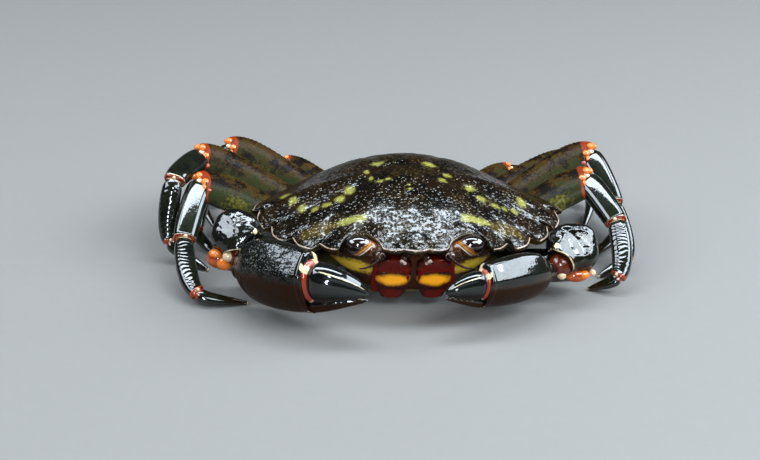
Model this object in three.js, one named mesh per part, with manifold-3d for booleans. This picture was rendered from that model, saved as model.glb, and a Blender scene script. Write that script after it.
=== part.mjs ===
// A shore crab, Carcinus maenas, life size, crouched with its claws folded before its mouth and its
// legs drawn up beside the shell. Millimetres, +Z up. The crab faces -Y, so its right side is at -X.
// The origin is on the floor, under the middle of the belly, which lies flat on it.
import * as THREE from "three";
import { mergeVertices } from "three/addons/utils/BufferGeometryUtils.js";
import Module from "manifold-3d";

const wasm = await Module();
wasm.setup();

// ---- Driving dimensions ----------------------------------------------------------------------
const SHELL_WIDTH = 70; // across the tips of the last side teeth
const SHELL_LENGTH = 54;
const DOME_TOP = 24.8; // height of the shell's crown above the floor
const DOME_POWER = { lengthwise: 2.3, sideways: 1.7 }; // how late the dome falls away to its rim
const DOME_SHARES = [0, 0.28, 0.52, 0.72, 0.88, 1]; // rings of the dome, as shares of the rim
const UNDERSIDE_SHARES = [0.985, 0.88, 0]; // rings of the shell's underside
const TEETH_FROM = 0.9; // rings nearer the crown than this have no teeth
const RIM_THICKNESS = 1.0;
const BELLY_ROOF = 12.8; // height of the shell's underside at its middle
const GAP = 0.35; // clear space between neighbouring pieces
const CLAW_TILT = 12; // degrees that the claws' upper edges lean forwards
const SIDES = { right: -1, left: 1 };
const SKIN_COLOURS = {
  shell: 0x23281a,
  belly: 0xa9a27c,
  leg: 0x3d4020,
  claw: 0x1d2018,
  finger: 0x12160f,
  mouth: 0x8a4a16,
  stalk: 0xa0791f,
  eye: 0x0c0d0d,
  feeler: 0x6b4a2c,
};

// ---- Small tools -----------------------------------------------------------------------------
const point = (x, y, z) => new THREE.Vector3(x, y, z);
const mix = (a, b, t) => a + (b - a) * t;
const heading = (from, to) => new THREE.Vector3().subVectors(to, from).normalize();
const UP = point(0, 0, 1);
const materials = Object.fromEntries(
  Object.entries(SKIN_COLOURS).map(([slot, color]) => [
    slot,
    new THREE.MeshStandardMaterial({ name: slot, color, roughness: 0.3, metalness: 0 }),
  ]),
);

/** The value at t (0 to 1) of evenly spaced stations, joined by a smooth curve. */
function along(stations, t) {
  const last = stations.length - 1;
  const i = Math.min(Math.floor(t * last), last - 1);
  const f = t * last - i;
  const [b, c] = [stations[i], stations[i + 1]];
  const slope = (c - stations[Math.max(i - 1, 0)]) / 2;
  const nextSlope = (stations[Math.min(i + 2, last)] - b) / 2;
  const ease = f * f * (3 - 2 * f);
  return mix(b, c, ease) + slope * f * (1 - f) ** 2 - nextSlope * f * f * (1 - f);
}

/** A geometry with every vertex moved by place(vertex), and its seams closed. */
function reshape(geometry, place) {
  const position = geometry.getAttribute("position");
  for (let i = 0; i < position.count; i++) {
    const moved = place(new THREE.Vector3().fromBufferAttribute(position, i));
    position.setXYZ(i, moved.x, moved.y, moved.z);
  }
  geometry.deleteAttribute("normal");
  geometry.deleteAttribute("uv");
  return mergeVertices(geometry, 1e-4);
}

/** A closed geometry as a solid. A mirrored one has its faces turned out again. */
function solidOf(geometry) {
  const vertProperties = new Float32Array(geometry.getAttribute("position").array);
  const triVerts = new Uint32Array(geometry.index.array);
  const made = new wasm.Manifold(new wasm.Mesh({ numProp: 3, vertProperties, triVerts }));
  if (made.volume() > 0) return made;
  return new wasm.Manifold(
    new wasm.Mesh({ numProp: 3, vertProperties, triVerts: triVerts.reverse() }),
  );
}

/** A solid as a geometry. */
function geometryOf(solid) {
  const { vertProperties, triVerts } = solid.getMesh();
  return new THREE.BufferGeometry()
    .setAttribute("position", new THREE.BufferAttribute(vertProperties, 3))
    .setIndex(new THREE.BufferAttribute(triVerts, 1));
}

const crab = new THREE.Group();
const SLAB = { size: 400, depth: 40 };
const floorSlab = solidOf(
  reshape(new THREE.BoxGeometry(SLAB.size, SLAB.size, SLAB.depth), (p) =>
    p.add(point(0, 0, -SLAB.depth / 2)),
  ),
);

/**
 * Adds one named piece. What would lie below the floor is cut away, which leaves a small flat, and
 * only the largest body that the cuts leave is kept.
 */
function addPiece(name, slot, solid) {
  const bodies = solid.subtract(floorSlab).decompose();
  const [largest] = bodies.sort((a, b) => b.volume() - a.volume());
  const mesh = new THREE.Mesh(geometryOf(largest), materials[slot]);
  mesh.name = name;
  crab.add(mesh);
}

/** A ball with three half sizes. */
const ball = (at, half, columns, rows) =>
  solidOf(
    reshape(new THREE.SphereGeometry(1, columns, rows), (p) =>
      point(p.x * half[0] + at.x, p.z * half[1] + at.y, p.y * half[2] + at.z),
    ),
  );

/**
 * A limb piece: a tube with an oval section along a curve. The curve leaves its start in the
 * direction leave and comes to its end in the direction arrive, so that two pieces that share a
 * direction at their joint meet face to face. side is the direction of the piece's thickness; high
 * and thick are half sizes at even stations.
 */
function limb({ from, to, leave, arrive, side, high, thick, bow = 0.3, around = 8, rows = 5 }) {
  const reach = from.distanceTo(to) * bow;
  const curve = new THREE.CubicBezierCurve3(
    from,
    from.clone().addScaledVector(leave ?? heading(from, to), reach),
    to.clone().addScaledVector(arrive ?? heading(from, to), -reach),
    to,
  );
  return solidOf(
    reshape(new THREE.CylinderGeometry(1, 1, 1, around, rows), (p) => {
      const t = p.y + 0.5;
      const axis = curve.getTangent(t);
      const across = side.clone().addScaledVector(axis, -side.dot(axis)).normalize();
      return curve
        .getPoint(t)
        .addScaledVector(across, p.x * along(thick, t))
        .addScaledVector(axis.cross(across), p.z * along(high, t));
    }),
  );
}

// ---- The shell -------------------------------------------------------------------------------
// Half of the rim, from the front's middle lobe round the left side to the middle of the rear edge:
// distance from the midline, distance along Y, height. The side teeth are tips, rounded outer edges
// and notches in turn.
const RIM_HALF = [
  [0, -27, 17], // middle lobe of the front
  [1.6, -26.7, 17],
  [2.6, -26.1, 17],
  [3.6, -26.4, 16.9], // side lobe
  [5.2, -26.2, 16.8],
  [7.1, -24.8, 16.6], // inner corner of the orbit
  [8.4, -22.6, 17.6],
  [11.6, -21.1, 18.4], // deepest point of the orbit
  [14.8, -21.9, 17.4],
  [16.8, -24.6, 16.2], // first side tooth
  [18.9, -22.6, 15.5],
  [20.6, -19.6, 15.1],
  [22.5, -20.9, 14.5], // second side tooth
  [25.2, -18.4, 14.2],
  [26.4, -14.9, 14.3],
  [28.4, -16.0, 13.9], // third side tooth
  [30.6, -12.9, 13.8],
  [31.0, -9.0, 14.2],
  [32.7, -9.9, 14.1], // fourth side tooth
  [34.1, -6.4, 14.4],
  [33.6, -2.6, 15.1],
  [35.0, -3.0, 15.3], // fifth side tooth
  [34.2, 1.2, 14.8],
  [32.2, 6.0, 13.8],
  [29.4, 11.0, 12.9],
  [25.6, 16.2, 12.5],
  [21.0, 21.4, 12.5],
  [16.6, 25.0, 12.7], // rear corner
  [12.0, 26.6, 12.9],
  [6.0, 26.7, 13.0],
  [0, 26.6, 13.0],
];
const SCALE = point(SHELL_WIDTH / 70, SHELL_LENGTH / 54, 1);
const mirrored = ({ x, y, z }) => point(-x, y, z);
const halfRim = RIM_HALF.map((xyz) => point(...xyz).multiply(SCALE));
const toothedRim = [...halfRim, ...halfRim.slice(1, -1).reverse().map(mirrored)];
const RIM_POINTS = toothedRim.length;
const SMOOTHING = [-2, -1, 0, 1, 2]; // neighbours averaged to take the teeth off the rim
const smoothRim = toothedRim.map((_, k) =>
  SMOOTHING.reduce(
    (sum, step) => sum.add(toothedRim[(k + step + RIM_POINTS) % RIM_POINTS]),
    point(0, 0, 0),
  ).divideScalar(SMOOTHING.length),
);
const crown = point(0, -1, DOME_TOP);

/** A point over or under the shell, at a share of the way from the crown's axis to rim point k. */
function rimPoint(k, share) {
  const edge = share < TEETH_FROM ? smoothRim[k] : toothedRim[k];
  return point(mix(crown.x, edge.x, share), mix(crown.y, edge.y, share), edge.z);
}

/** A point of the shell's upper face. */
function domePoint(k, share) {
  const at = rimPoint(k, share);
  const aside = Math.abs(toothedRim[k].x) / Math.hypot(toothedRim[k].x, toothedRim[k].y - crown.y);
  const power = mix(DOME_POWER.lengthwise, DOME_POWER.sideways, aside ** 2);
  return at.setZ(mix(DOME_TOP, at.z, share ** power));
}

/** A point of the shell's lower face. */
function undersidePoint(k, share) {
  const at = rimPoint(k, share);
  return at.setZ(mix(BELLY_ROOF, at.z - RIM_THICKNESS, share ** 2));
}

/** The column and row of a sphere's vertex. */
function gridPlace(p, columns, rows) {
  const turn = Math.atan2(p.z, p.x) / (2 * Math.PI);
  return {
    column: Math.round((turn + 1) * columns) % columns,
    row: Math.round((Math.acos(THREE.MathUtils.clamp(p.y, -1, 1)) / Math.PI) * rows),
  };
}

/** A solid between rows of points, from the top's pole down to the bottom's. */
function stacked(rows, columns) {
  const last = rows.length - 1;
  return solidOf(
    reshape(new THREE.SphereGeometry(1, columns, last), (p) => {
      const { column, row } = gridPlace(p, columns, last);
      return rows[row](row % last ? column : 0);
    }),
  );
}

const shell = stacked(
  [
    ...DOME_SHARES.map((share) => (k) => domePoint(k, share)),
    ...UNDERSIDE_SHARES.map((share) => (k) => undersidePoint(k, share)),
  ],
  RIM_POINTS,
);

// All that is over the shell's underside and within its rim, grown by GAP: other pieces stay out.
const HEADROOM = 60; // height that this space reaches up to
const GROWN = 1.012; // its rim, as a share of the shell's
const shellSpace = stacked(
  [
    () => point(0, 0, HEADROOM),
    (k) => rimPoint(k, GROWN).setZ(HEADROOM),
    ...[GROWN, ...UNDERSIDE_SHARES].map(
      (share) => (k) => undersidePoint(k, share).add(point(0, 0, -GAP)),
    ),
  ],
  RIM_POINTS,
);

// ---- The trunk under the shell ---------------------------------------------------------------
// Levels of the trunk from within the shell down to the belly: height, half width, front and rear.
const TRUNK_LEVELS = [
  { z: 18.0, half: 27.0, front: -20.4, rear: 22.6 },
  { z: 12.4, half: 26.2, front: -22.2, rear: 22.4 },
  { z: 10.2, half: 22.6, front: -21.2, rear: 21.4 },
  { z: 7.0, half: 19.4, front: -19.6, rear: 19.5 },
  { z: 3.2, half: 16.8, front: -17.2, rear: 17.0 },
  { z: 0.9, half: 14.4, front: -14.6, rear: 15.0 },
  { z: 0.0, half: 11.8, front: -12.4, rear: 13.2 },
];
const TRUNK_SQUARENESS = 0.86; // 1 is an ellipse, less is squarer
const TRUNK_COLUMNS = 30;
const BELLY_LEVEL = 1; // what lies below this height is belly

/** The trunk, its walls and belly grown by grow. Its roof fits under the shell. */
function trunk(grow = 0) {
  const squared = (v) => Math.sign(v) * Math.abs(v) ** TRUNK_SQUARENESS;
  const ring = ({ z, half, front, rear }) => (column) => {
    const angle = (column / TRUNK_COLUMNS) * 2 * Math.PI;
    return point(
      (half + grow) * squared(Math.cos(angle)),
      (front + rear) / 2 + ((rear - front) / 2 + grow) * squared(Math.sin(angle)),
      z > BELLY_LEVEL ? z : z - grow,
    );
  };
  const top = TRUNK_LEVELS[0];
  const rows = [() => point(0, 0, top.z), ...TRUNK_LEVELS.map(ring), () => point(0, 0, -grow)];
  return stacked(rows, TRUNK_COLUMNS).subtract(shellSpace);
}

// ---- The tail flap, folded under the trunk ---------------------------------------------------
const FLAP = {
  root: [0, 24.0, 9.6],
  bend: [0, 16.5, 0.6],
  tip: [0, -5.5, 0.4],
  rootHalfWidths: [8.4, 8.8, 8.0, 6.4],
  tipHalfWidths: [6.2, 4.8, 3.8, 2.8, 1.2],
  halfThickness: [0.7, 0.6],
  lap: 0.4, // how far its two lengths reach into each other
  bow: 0.4,
};

/** The flap, grown by grow: down the rear of the trunk, then forwards along the belly. */
function tailFlap(grow = 0) {
  const [root, bend, tip] = [FLAP.root, FLAP.bend, FLAP.tip].map((xyz) => point(...xyz));
  const forward = point(0, -1, 0);
  const grown = (sizes) => sizes.map((v) => v + grow);
  const shared = { side: point(1, 0, 0), high: grown(FLAP.halfThickness) };
  const back = limb({
    ...shared,
    from: root,
    to: bend,
    arrive: forward,
    thick: grown(FLAP.rootHalfWidths),
    bow: FLAP.bow,
  });
  const front = limb({
    ...shared,
    from: bend.clone().addScaledVector(forward, -FLAP.lap),
    to: tip,
    leave: forward,
    thick: grown(FLAP.tipHalfWidths),
  });
  return back.add(front);
}

// ---- Walking legs ----------------------------------------------------------------------------
// Joints of each leg: hip, base, knee, wrist, ankle and tip. The tips lie on the floor.
const LEG_JOINTS = {
  right: {
    leg2: [
      [-15, -1.5, 6], [-24, 3, 6.2], [-46.4, 9.6, 15.3],
      [-50.2, -3.6, 8.2], [-46.8, -18.4, 2.6], [-36, -18.8, 0.3],
    ],
    leg3: [
      [-15, 7, 6], [-23.5, 12, 6.8], [-46.9, 21, 17.2],
      [-52.8, 8.5, 17.2], [-53.6, 2.6, 4.8], [-45, -3, 0.3],
    ],
    leg4: [
      [-13, 13.5, 6.5], [-20.5, 19.5, 8.4], [-39.9, 28, 16.2],
      [-46.2, 20.2, 9.2], [-48, 10.5, 3.4], [-42, 2.6, 0.3],
    ],
    leg5: [
      [-10, 16, 7], [-15, 24.8, 8], [-27, 33, 10],
      [-38, 35, 7.4], [-47, 30, 3.6], [-44, 19, 0.3],
    ],
  },
  left: {
    leg2: [
      [15, -1.5, 6], [24, 3, 6.2], [42.4, 10.4, 16.3],
      [48.2, -1, 11.4], [46.9, -13.4, 3.8], [40.6, -12.6, 0.3],
    ],
    leg3: [
      [15, 7, 6], [23.5, 12, 6.8], [44.6, 20, 18.4],
      [49.2, 8.6, 11.4], [50.4, -3.4, 3.2], [44, -6.5, 0.3],
    ],
    leg4: [
      [13, 13.5, 6.5], [20.5, 19.5, 8], [41.6, 27.4, 13.6],
      [50, 21, 7.6], [51, 10, 3.4], [43.5, 3, 0.3],
    ],
    leg5: [
      [10, 16, 7], [15, 24.8, 8], [28, 33, 8.4],
      [38, 35, 6.4], [47.6, 30, 3.4], [45, 19, 0.3],
    ],
  },
};
const LEG_SIZES = {
  merus: { high: [2.3, 2.8, 3.6, 4.2, 4.5, 4.0], thick: [2.1, 2.1, 2.2, 2.3, 2.3, 2.1] },
  carpus: { high: [2.7, 2.8, 2.7, 2.4], thick: [1.9, 2.1, 2.1, 1.8] },
  propodus: { high: [2.0, 2.2, 2.1, 1.7], thick: [1.6, 1.7, 1.6, 1.3] },
  dactyl: { high: [1.5, 1.4, 1.1, 0.7, 0.35], thick: [1.2, 1.1, 0.9, 0.65, 0.35] },
};
const LEG_SCALE = { leg2: 1, leg3: 1, leg4: 0.92, leg5: 0.8 };
const LEG_ROWS = { merus: 7, carpus: 4, propodus: 4, dactyl: 5 };
const LEG_BOW = { merus: 0.09, carpus: 0.22, propodus: 0.22, dactyl: 0.22 }; // how much each curves
const grownTrunk = trunk(GAP);

/** The unit direction that halves the bend at b, on the way from a to c. */
const halfway = (a, b, c) => heading(a, b).add(heading(b, c)).normalize();

/** The direction of a leg's thickness: across the plane in which the leg bends. */
function legSide([, base, knee, wrist, ankle, tip]) {
  const bend = (a, b, c) => new THREE.Vector3().crossVectors(heading(a, b), heading(b, c)).normalize();
  return bend(base, knee, wrist).add(bend(wrist, ankle, tip)).normalize();
}

/** Adds one leg's four pieces. The merus starts in the trunk's wall, and each piece meets the next. */
function addLeg(leg, sideName) {
  const joints = LEG_JOINTS[sideName][leg].map((xyz) => point(...xyz));
  const [hip, base, knee, wrist, ankle, tip] = joints;
  const side = legSide(joints);
  const scaled = (sizes) => sizes.map((v) => v * LEG_SCALE[leg]);
  const bends = {
    knee: halfway(base, knee, wrist),
    wrist: halfway(knee, wrist, ankle),
    ankle: halfway(wrist, ankle, tip),
  };
  const piece = (part, from, to, leave, arrive) =>
    limb({
      from: from === hip ? hip : from.clone().addScaledVector(leave, GAP / 2),
      to: to === tip ? tip : to.clone().addScaledVector(arrive, -GAP / 2),
      leave,
      arrive,
      side,
      rows: LEG_ROWS[part],
      bow: LEG_BOW[part],
      high: scaled(LEG_SIZES[part].high),
      thick: scaled(LEG_SIZES[part].thick),
    });
  const add = (part, solid) => addPiece(`${leg}_${sideName}_${part}`, "leg", solid);
  const merus = piece("merus", hip, knee, heading(hip, base), bends.knee);
  add("merus", merus.subtract(grownTrunk).subtract(shellSpace));
  add("carpus", piece("carpus", knee, wrist, bends.knee, bends.wrist));
  add("propodus", piece("propodus", wrist, ankle, bends.wrist, bends.ankle));
  add("dactyl", piece("dactyl", ankle, tip, bends.ankle));
}

// ---- Claws -----------------------------------------------------------------------------------
// Points of each claw: the arm's two ends, the carpus, the palm's neck and knuckle, and the tips of
// the movable finger and of the thumb, which is one with the palm.
const CLAWS = {
  right: {
    arm: [[-14, -11, 6], [-42.2, -13.2, 9.4]],
    carpus: { at: [-38.4, -14, 14.6], half: [5.2, 5.0, 5.6] },
    neck: [-37.9, -19.4, 9.7],
    knuckle: [-22.6, -31.6, 12.4],
    fingerTip: [-10.2, -35.0, 11.0],
    thumbTip: [-10.6, -34.6, 9.4],
    size: 1.0,
  },
  left: {
    arm: [[14, -11, 6], [38.4, -14.2, 7.0]],
    carpus: { at: [35.8, -14.6, 11.6], half: [5.6, 5.2, 5.6] },
    neck: [30.2, -20.6, 8.8],
    knuckle: [14.2, -30.2, 10.8],
    fingerTip: [5.6, -34.0, 10.6],
    thumbTip: [5.8, -33.6, 9.2],
    size: 0.74,
  },
};
const ARM_HALF = { high: [3.2, 3.8, 4.2, 3.6], thick: [2.8, 3.4, 3.6, 3.2] };
const PALM_HALF = { high: [3.6, 7.0, 8.0, 7.6, 6.7], thick: [3.0, 4.8, 5.4, 5.2, 4.4] };
const THUMB_HALF = { high: [2.8, 2.5, 2.0, 1.3, 0.5], thick: [3.2, 2.8, 2.2, 1.4, 0.5] };
const FINGER_HALF = { high: [4.8, 4.5, 3.7, 2.4, 0.5], thick: [3.8, 3.4, 2.7, 1.8, 0.5] };
const FINGER_RISE = 0.2; // how far the movable finger's root lies above the palm's middle line
const THUMB_DROP = 5.2; // how far the thumb's root lies below it
const THUMB_SINK = 3.0; // how far the thumb's root reaches back into the palm
const FINGER_HOOK = -0.25; // how steeply the finger's tip turns down, and the thumb's up
const THUMB_HOOK = 0.3;
const SPINE = { reach: 1.3, sharpness: 14, heading: [0.6, -0.66, 0.45] }; // the carpus's inner spine
const CARPUS_GRID = [14, 8]; // columns and rows

/** The carpus: a rounded block with one blunt spine towards the mouth. */
function clawCarpus({ at, half }, mirror, grow = 0) {
  const [x, y, z] = SPINE.heading;
  const spine = point(-mirror * x, y, z).normalize();
  return solidOf(
    reshape(new THREE.SphereGeometry(1, ...CARPUS_GRID), (p) => {
      const out = point(p.x, p.z, p.y);
      const reach = 1 + (SPINE.reach - 1) * Math.max(0, out.dot(spine)) ** SPINE.sharpness;
      const grown = half.map((v) => v * reach + grow);
      return out.multiply(point(...grown)).add(point(...at));
    }),
  );
}

/** Adds one claw: its arm, carpus, palm with the thumb, and movable finger. */
function addClaw(sideName) {
  const { arm, carpus, size } = CLAWS[sideName];
  const mirror = SIDES[sideName];
  const [neck, knuckle, fingerTip, thumbTip] = ["neck", "knuckle", "fingerTip", "thumbTip"].map(
    (key) => point(...CLAWS[sideName][key]),
  );
  const upright = UP.clone().applyAxisAngle(point(1, 0, 0), THREE.MathUtils.degToRad(CLAW_TILT));
  const palmAxis = heading(neck, knuckle);
  const side = new THREE.Vector3().crossVectors(palmAxis, upright).normalize();
  const sized = ({ high, thick }, grow = 0) => ({
    high: high.map((v) => v * size + grow),
    thick: thick.map((v) => v * size + grow),
  });
  const hooked = (to, turn) => heading(knuckle, to).addScaledVector(upright, turn).normalize();
  const shared = { side, rows: 7, around: 10 };
  const finger = (grow) =>
    limb({
      ...shared,
      from: knuckle
        .clone()
        .addScaledVector(upright, FINGER_RISE * size)
        .addScaledVector(palmAxis, -grow),
      to: fingerTip,
      leave: palmAxis,
      arrive: hooked(fingerTip, FINGER_HOOK),
      ...sized(FINGER_HALF, grow),
    });
  const palm = limb({ ...shared, from: neck, to: knuckle, around: 12, ...sized(PALM_HALF) });
  const thumb = limb({
    ...shared,
    from: knuckle
      .clone()
      .addScaledVector(upright, -THUMB_DROP * size)
      .addScaledVector(palmAxis, -THUMB_SINK * size),
    to: thumbTip,
    leave: palmAxis,
    arrive: hooked(thumbTip, THUMB_HOOK),
    ...sized(THUMB_HALF),
  });
  const grownCarpus = clawCarpus(carpus, mirror, GAP);
  const [armStart, armEnd] = arm.map((xyz) => point(...xyz));
  const armTube = limb({ from: armStart, to: armEnd, side: UP, rows: 6, around: 10, ...ARM_HALF });
  const add = (part, slot, solid) => addPiece(`claw_${sideName}_${part}`, slot, solid);
  add("arm", "claw", armTube.subtract(grownTrunk).subtract(grownCarpus).subtract(shellSpace));
  add("carpus", "claw", clawCarpus(carpus, mirror));
  add("palm", "claw", palm.add(thumb).subtract(finger(GAP)).subtract(grownCarpus));
  add("finger", "finger", finger(0));
}

// ---- The face --------------------------------------------------------------------------------
// Points of the left half, mirrored for the right.
const EYE = { at: [12.2, -22.9, 16.5], half: [2.9, 2.0, 2.2], columns: 12, rows: 8 };
const STALK = { from: [6.6, -20.8, 14.4], to: [10.4, -22.4, 15.7], half: [1.7, 1.8], around: 8, rows: 2 };
const MAXILLIPED = {
  top: [4.3, -23.2, 13.4],
  bottom: [4.6, -19.2, 2.6],
  halfWidths: [3.1, 3.8, 3.6, 2.6],
  halfThickness: [0.9, 0.9],
};
const ANTENNA = {
  from: [7.0, -23.6, 14.8],
  leave: [0.1, -1, -0.1],
  to: [12.0, -26.0, 12.6],
  arrive: [1, 0.5, 0.1],
  half: [0.9, 0.6, 0.4, 0.35],
  around: 6,
  rows: 5,
};
const ANTENNULE = {
  from: [1.7, -22.8, 14.9],
  to: [3.2, -26.4, 13.9],
  half: [1.0, 0.8, 0.4],
  around: 6,
  rows: 4,
};

/** Adds one side's eye, eyestalk, mouth plate and feelers. */
function addFace(sideName) {
  const mirror = SIDES[sideName];
  const at = ([x, y, z]) => point(mirror * x, y, z);
  const eye = (grow) => ball(at(EYE.at), EYE.half.map((v) => v + grow), EYE.columns, EYE.rows);
  const rod = ({ from, to, leave, arrive, half, around, rows }) =>
    limb({
      from: at(from),
      to: at(to),
      leave: leave && at(leave).normalize(),
      arrive: arrive && at(arrive).normalize(),
      side: UP,
      high: half,
      thick: half,
      around,
      rows,
    });
  const plate = limb({
    from: at(MAXILLIPED.top),
    to: at(MAXILLIPED.bottom),
    side: point(0, 1, 0),
    high: MAXILLIPED.halfWidths,
    thick: MAXILLIPED.halfThickness,
    rows: 4,
  });
  const add = (part, slot, solid) =>
    addPiece(`${part}_${sideName}`, slot, solid.subtract(grownTrunk).subtract(shellSpace));
  add("eye", "eye", eye(0));
  add("eyestalk", "stalk", rod(STALK).subtract(eye(GAP)));
  add("maxilliped", "mouth", plate);
  add("antenna", "feeler", rod(ANTENNA));
  add("antennule", "feeler", rod(ANTENNULE));
}

// ---- The whole crab --------------------------------------------------------------------------
addPiece("carapace", "shell", shell);
addPiece("thorax", "belly", trunk().subtract(tailFlap(GAP)));
addPiece("tail_flap", "belly", tailFlap());
for (const sideName of Object.keys(SIDES)) {
  addFace(sideName);
  addClaw(sideName);
  for (const leg of Object.keys(LEG_SCALE)) addLeg(leg, sideName);
}

export default crab;
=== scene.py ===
"""The looks of a life-size shore crab, crouched flat with its claws folded before its mouth.

The crab faces -Y, its left side is at +X and +Z is up. Shapes are worked out in millimetres and
turned to metres when a mesh is made. Every shell piece stands for the CAD node of its name.
"""

import logging
import math
from collections.abc import Sequence
from dataclasses import dataclass, replace
from enum import Enum

import bpy
import numpy as np
from mathutils import Matrix, Vector

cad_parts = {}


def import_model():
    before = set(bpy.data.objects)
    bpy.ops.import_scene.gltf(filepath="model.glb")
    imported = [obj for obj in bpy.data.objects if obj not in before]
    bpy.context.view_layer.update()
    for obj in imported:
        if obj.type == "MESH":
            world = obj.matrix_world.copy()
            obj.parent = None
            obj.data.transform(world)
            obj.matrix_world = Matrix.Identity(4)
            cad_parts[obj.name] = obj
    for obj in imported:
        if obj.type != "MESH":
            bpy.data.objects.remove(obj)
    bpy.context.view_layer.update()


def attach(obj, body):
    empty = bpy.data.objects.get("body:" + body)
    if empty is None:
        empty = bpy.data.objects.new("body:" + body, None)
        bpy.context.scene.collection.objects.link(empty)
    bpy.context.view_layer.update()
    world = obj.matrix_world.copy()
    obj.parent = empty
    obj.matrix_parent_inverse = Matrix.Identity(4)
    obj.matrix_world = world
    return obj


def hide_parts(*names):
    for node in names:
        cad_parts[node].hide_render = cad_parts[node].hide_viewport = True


Array = np.ndarray
Socket = bpy.types.NodeSocket
MM = 0.001
UP = np.array([0.0, 0.0, 1.0])
FORWARD = np.array([0.0, -1.0, 0.0])
MASKS = ("spot", "band", "pale", "wash", "film", "dry")
# Numbers of the colour sockets of a Mix node.
MIX_BELOW, MIX_ABOVE, MIX_RESULT = 6, 7, 2
LOG = logging.getLogger("shore_crab")


class Side(Enum):
    """The crab's two sides. The value is the sign of X there."""

    RIGHT = -1
    LEFT = 1

    @property
    def word(self) -> str:
        """The side's name, as the nodes spell it."""
        return self.name.lower()


# ---- Numbers -----------------------------------------------------------------------------------
def mix(low: Array, high: Array, share: Array) -> Array:
    """The value at a share of the way from low to high."""
    return low + (high - low) * share


def ease(low: float, high: float, x: Array) -> Array:
    """Rises smoothly from 0 at low to 1 at high: 3t^2 - 2t^3 of the clipped share t."""
    t = np.clip((np.asarray(x, float) - low) / (high - low), 0, 1)
    return t * t * (3 - 2 * t)


def hill(x: Array, centre: float, width: float) -> Array:
    """A bell of height 1: e to the minus squared distance from the centre, in widths."""
    return np.exp(-(((np.asarray(x, float) - centre) / width) ** 2))


def unit(v: Array) -> Array:
    """The vectors v at length 1."""
    v = np.asarray(v, float)
    return v / np.linalg.norm(v, axis=-1, keepdims=True)


def along(stations: Array, t: Array) -> Array:
    """The value of evenly spaced stations, joined by a smooth cubic curve.

    Args:
        stations: Values, shape (count,) or (count, parts).
        t: Places from 0, the first station, to 1, the last.

    Returns:
        The value at each place.
    """
    stations = np.asarray(stations, float)
    t = np.clip(np.asarray(t, float), 0, 1)
    last = len(stations) - 1
    i = np.clip((t * last).astype(int), 0, last - 1)
    f = (t * last - i).reshape(t.shape + (1,) * (stations.ndim - 1))
    b, c = stations[i], stations[i + 1]
    slope = (c - stations[np.maximum(i - 1, 0)]) / 2
    next_slope = (stations[np.minimum(i + 2, last)] - b) / 2
    smooth = mix(b, c, f * f * (3 - 2 * f))
    return smooth + slope * f * (1 - f) ** 2 - next_slope * f * f * (1 - f)


def signed_power(x: Array, power: float | Array) -> Array:
    """The size of x raised to a power, with the sign of x."""
    return np.sign(x) * np.abs(x) ** power


def bumps(steps: Array) -> Array:
    """Rounded bumps of height 1, one in each whole step: the positive half of a sine wave."""
    return np.clip(np.sin(math.tau * steps), 0, 1)


def ripples(points: Array, length: float, seed: int, waves: int = 14) -> Array:
    """Smooth noise: a sum of sine waves of about one length, in seeded directions.

    Args:
        points: Where it is wanted, shape (..., 3).
        length: The waves' length.
        seed: Seed of their directions and phases.
        waves: How many there are.

    Returns:
        Values of about -1 to 1, shape (...).
    """
    rng = np.random.default_rng(seed)
    heads = unit(rng.normal(size=(waves, 3))) * rng.uniform(0.7, 1.4, (waves, 1))
    phases = rng.uniform(0, math.tau, waves)
    return np.sin(points @ heads.T * (math.tau / length) + phases).sum(-1) / math.sqrt(waves)


def distance_to_line(points: Array, line: Array) -> Array:
    """The distance, seen from above, to a line of straight stretches.

    Args:
        points: Points, shape (..., 2) or more.
        line: The line's points, in order.

    Returns:
        Distances, shape (...).
    """
    flat = points[..., None, :2]
    start, end = line[:-1, :2], line[1:, :2]
    run = end - start
    share = np.clip(((flat - start) * run).sum(-1) / (run * run).sum(-1), 0, 1)
    return np.linalg.norm(flat - start - share[..., None] * run, axis=-1).min(-1)


# ---- Surfaces ----------------------------------------------------------------------------------
@dataclass
class Surface:
    """A closed surface.

    points are in millimetres, quads and triangles are rows of point numbers, and masks holds one
    value from 0 to 1 for each point and name in MASKS.
    """

    points: Array
    quads: Array
    triangles: Array
    masks: dict[str, Array]

    def volume(self) -> float:
        """The volume: a sixth of the sum of each triangle's corner product.

        Returns:
            The enclosed volume, negative where faces point inwards.
        """
        halves = [self.triangles, self.quads[:, [0, 1, 2]], self.quads[:, [0, 2, 3]]]
        a, b, c = np.moveaxis(self.points[np.concatenate(halves)], 1, 0)
        return float((a * np.cross(b, c)).sum() / 6)

    def outwards(self) -> "Surface":
        """Turns the faces to point out.

        Returns:
            The same surface with its faces pointing out.
        """
        if self.volume() > 0:
            return self
        return replace(self, quads=self.quads[:, ::-1], triangles=self.triangles[:, ::-1])


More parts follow.
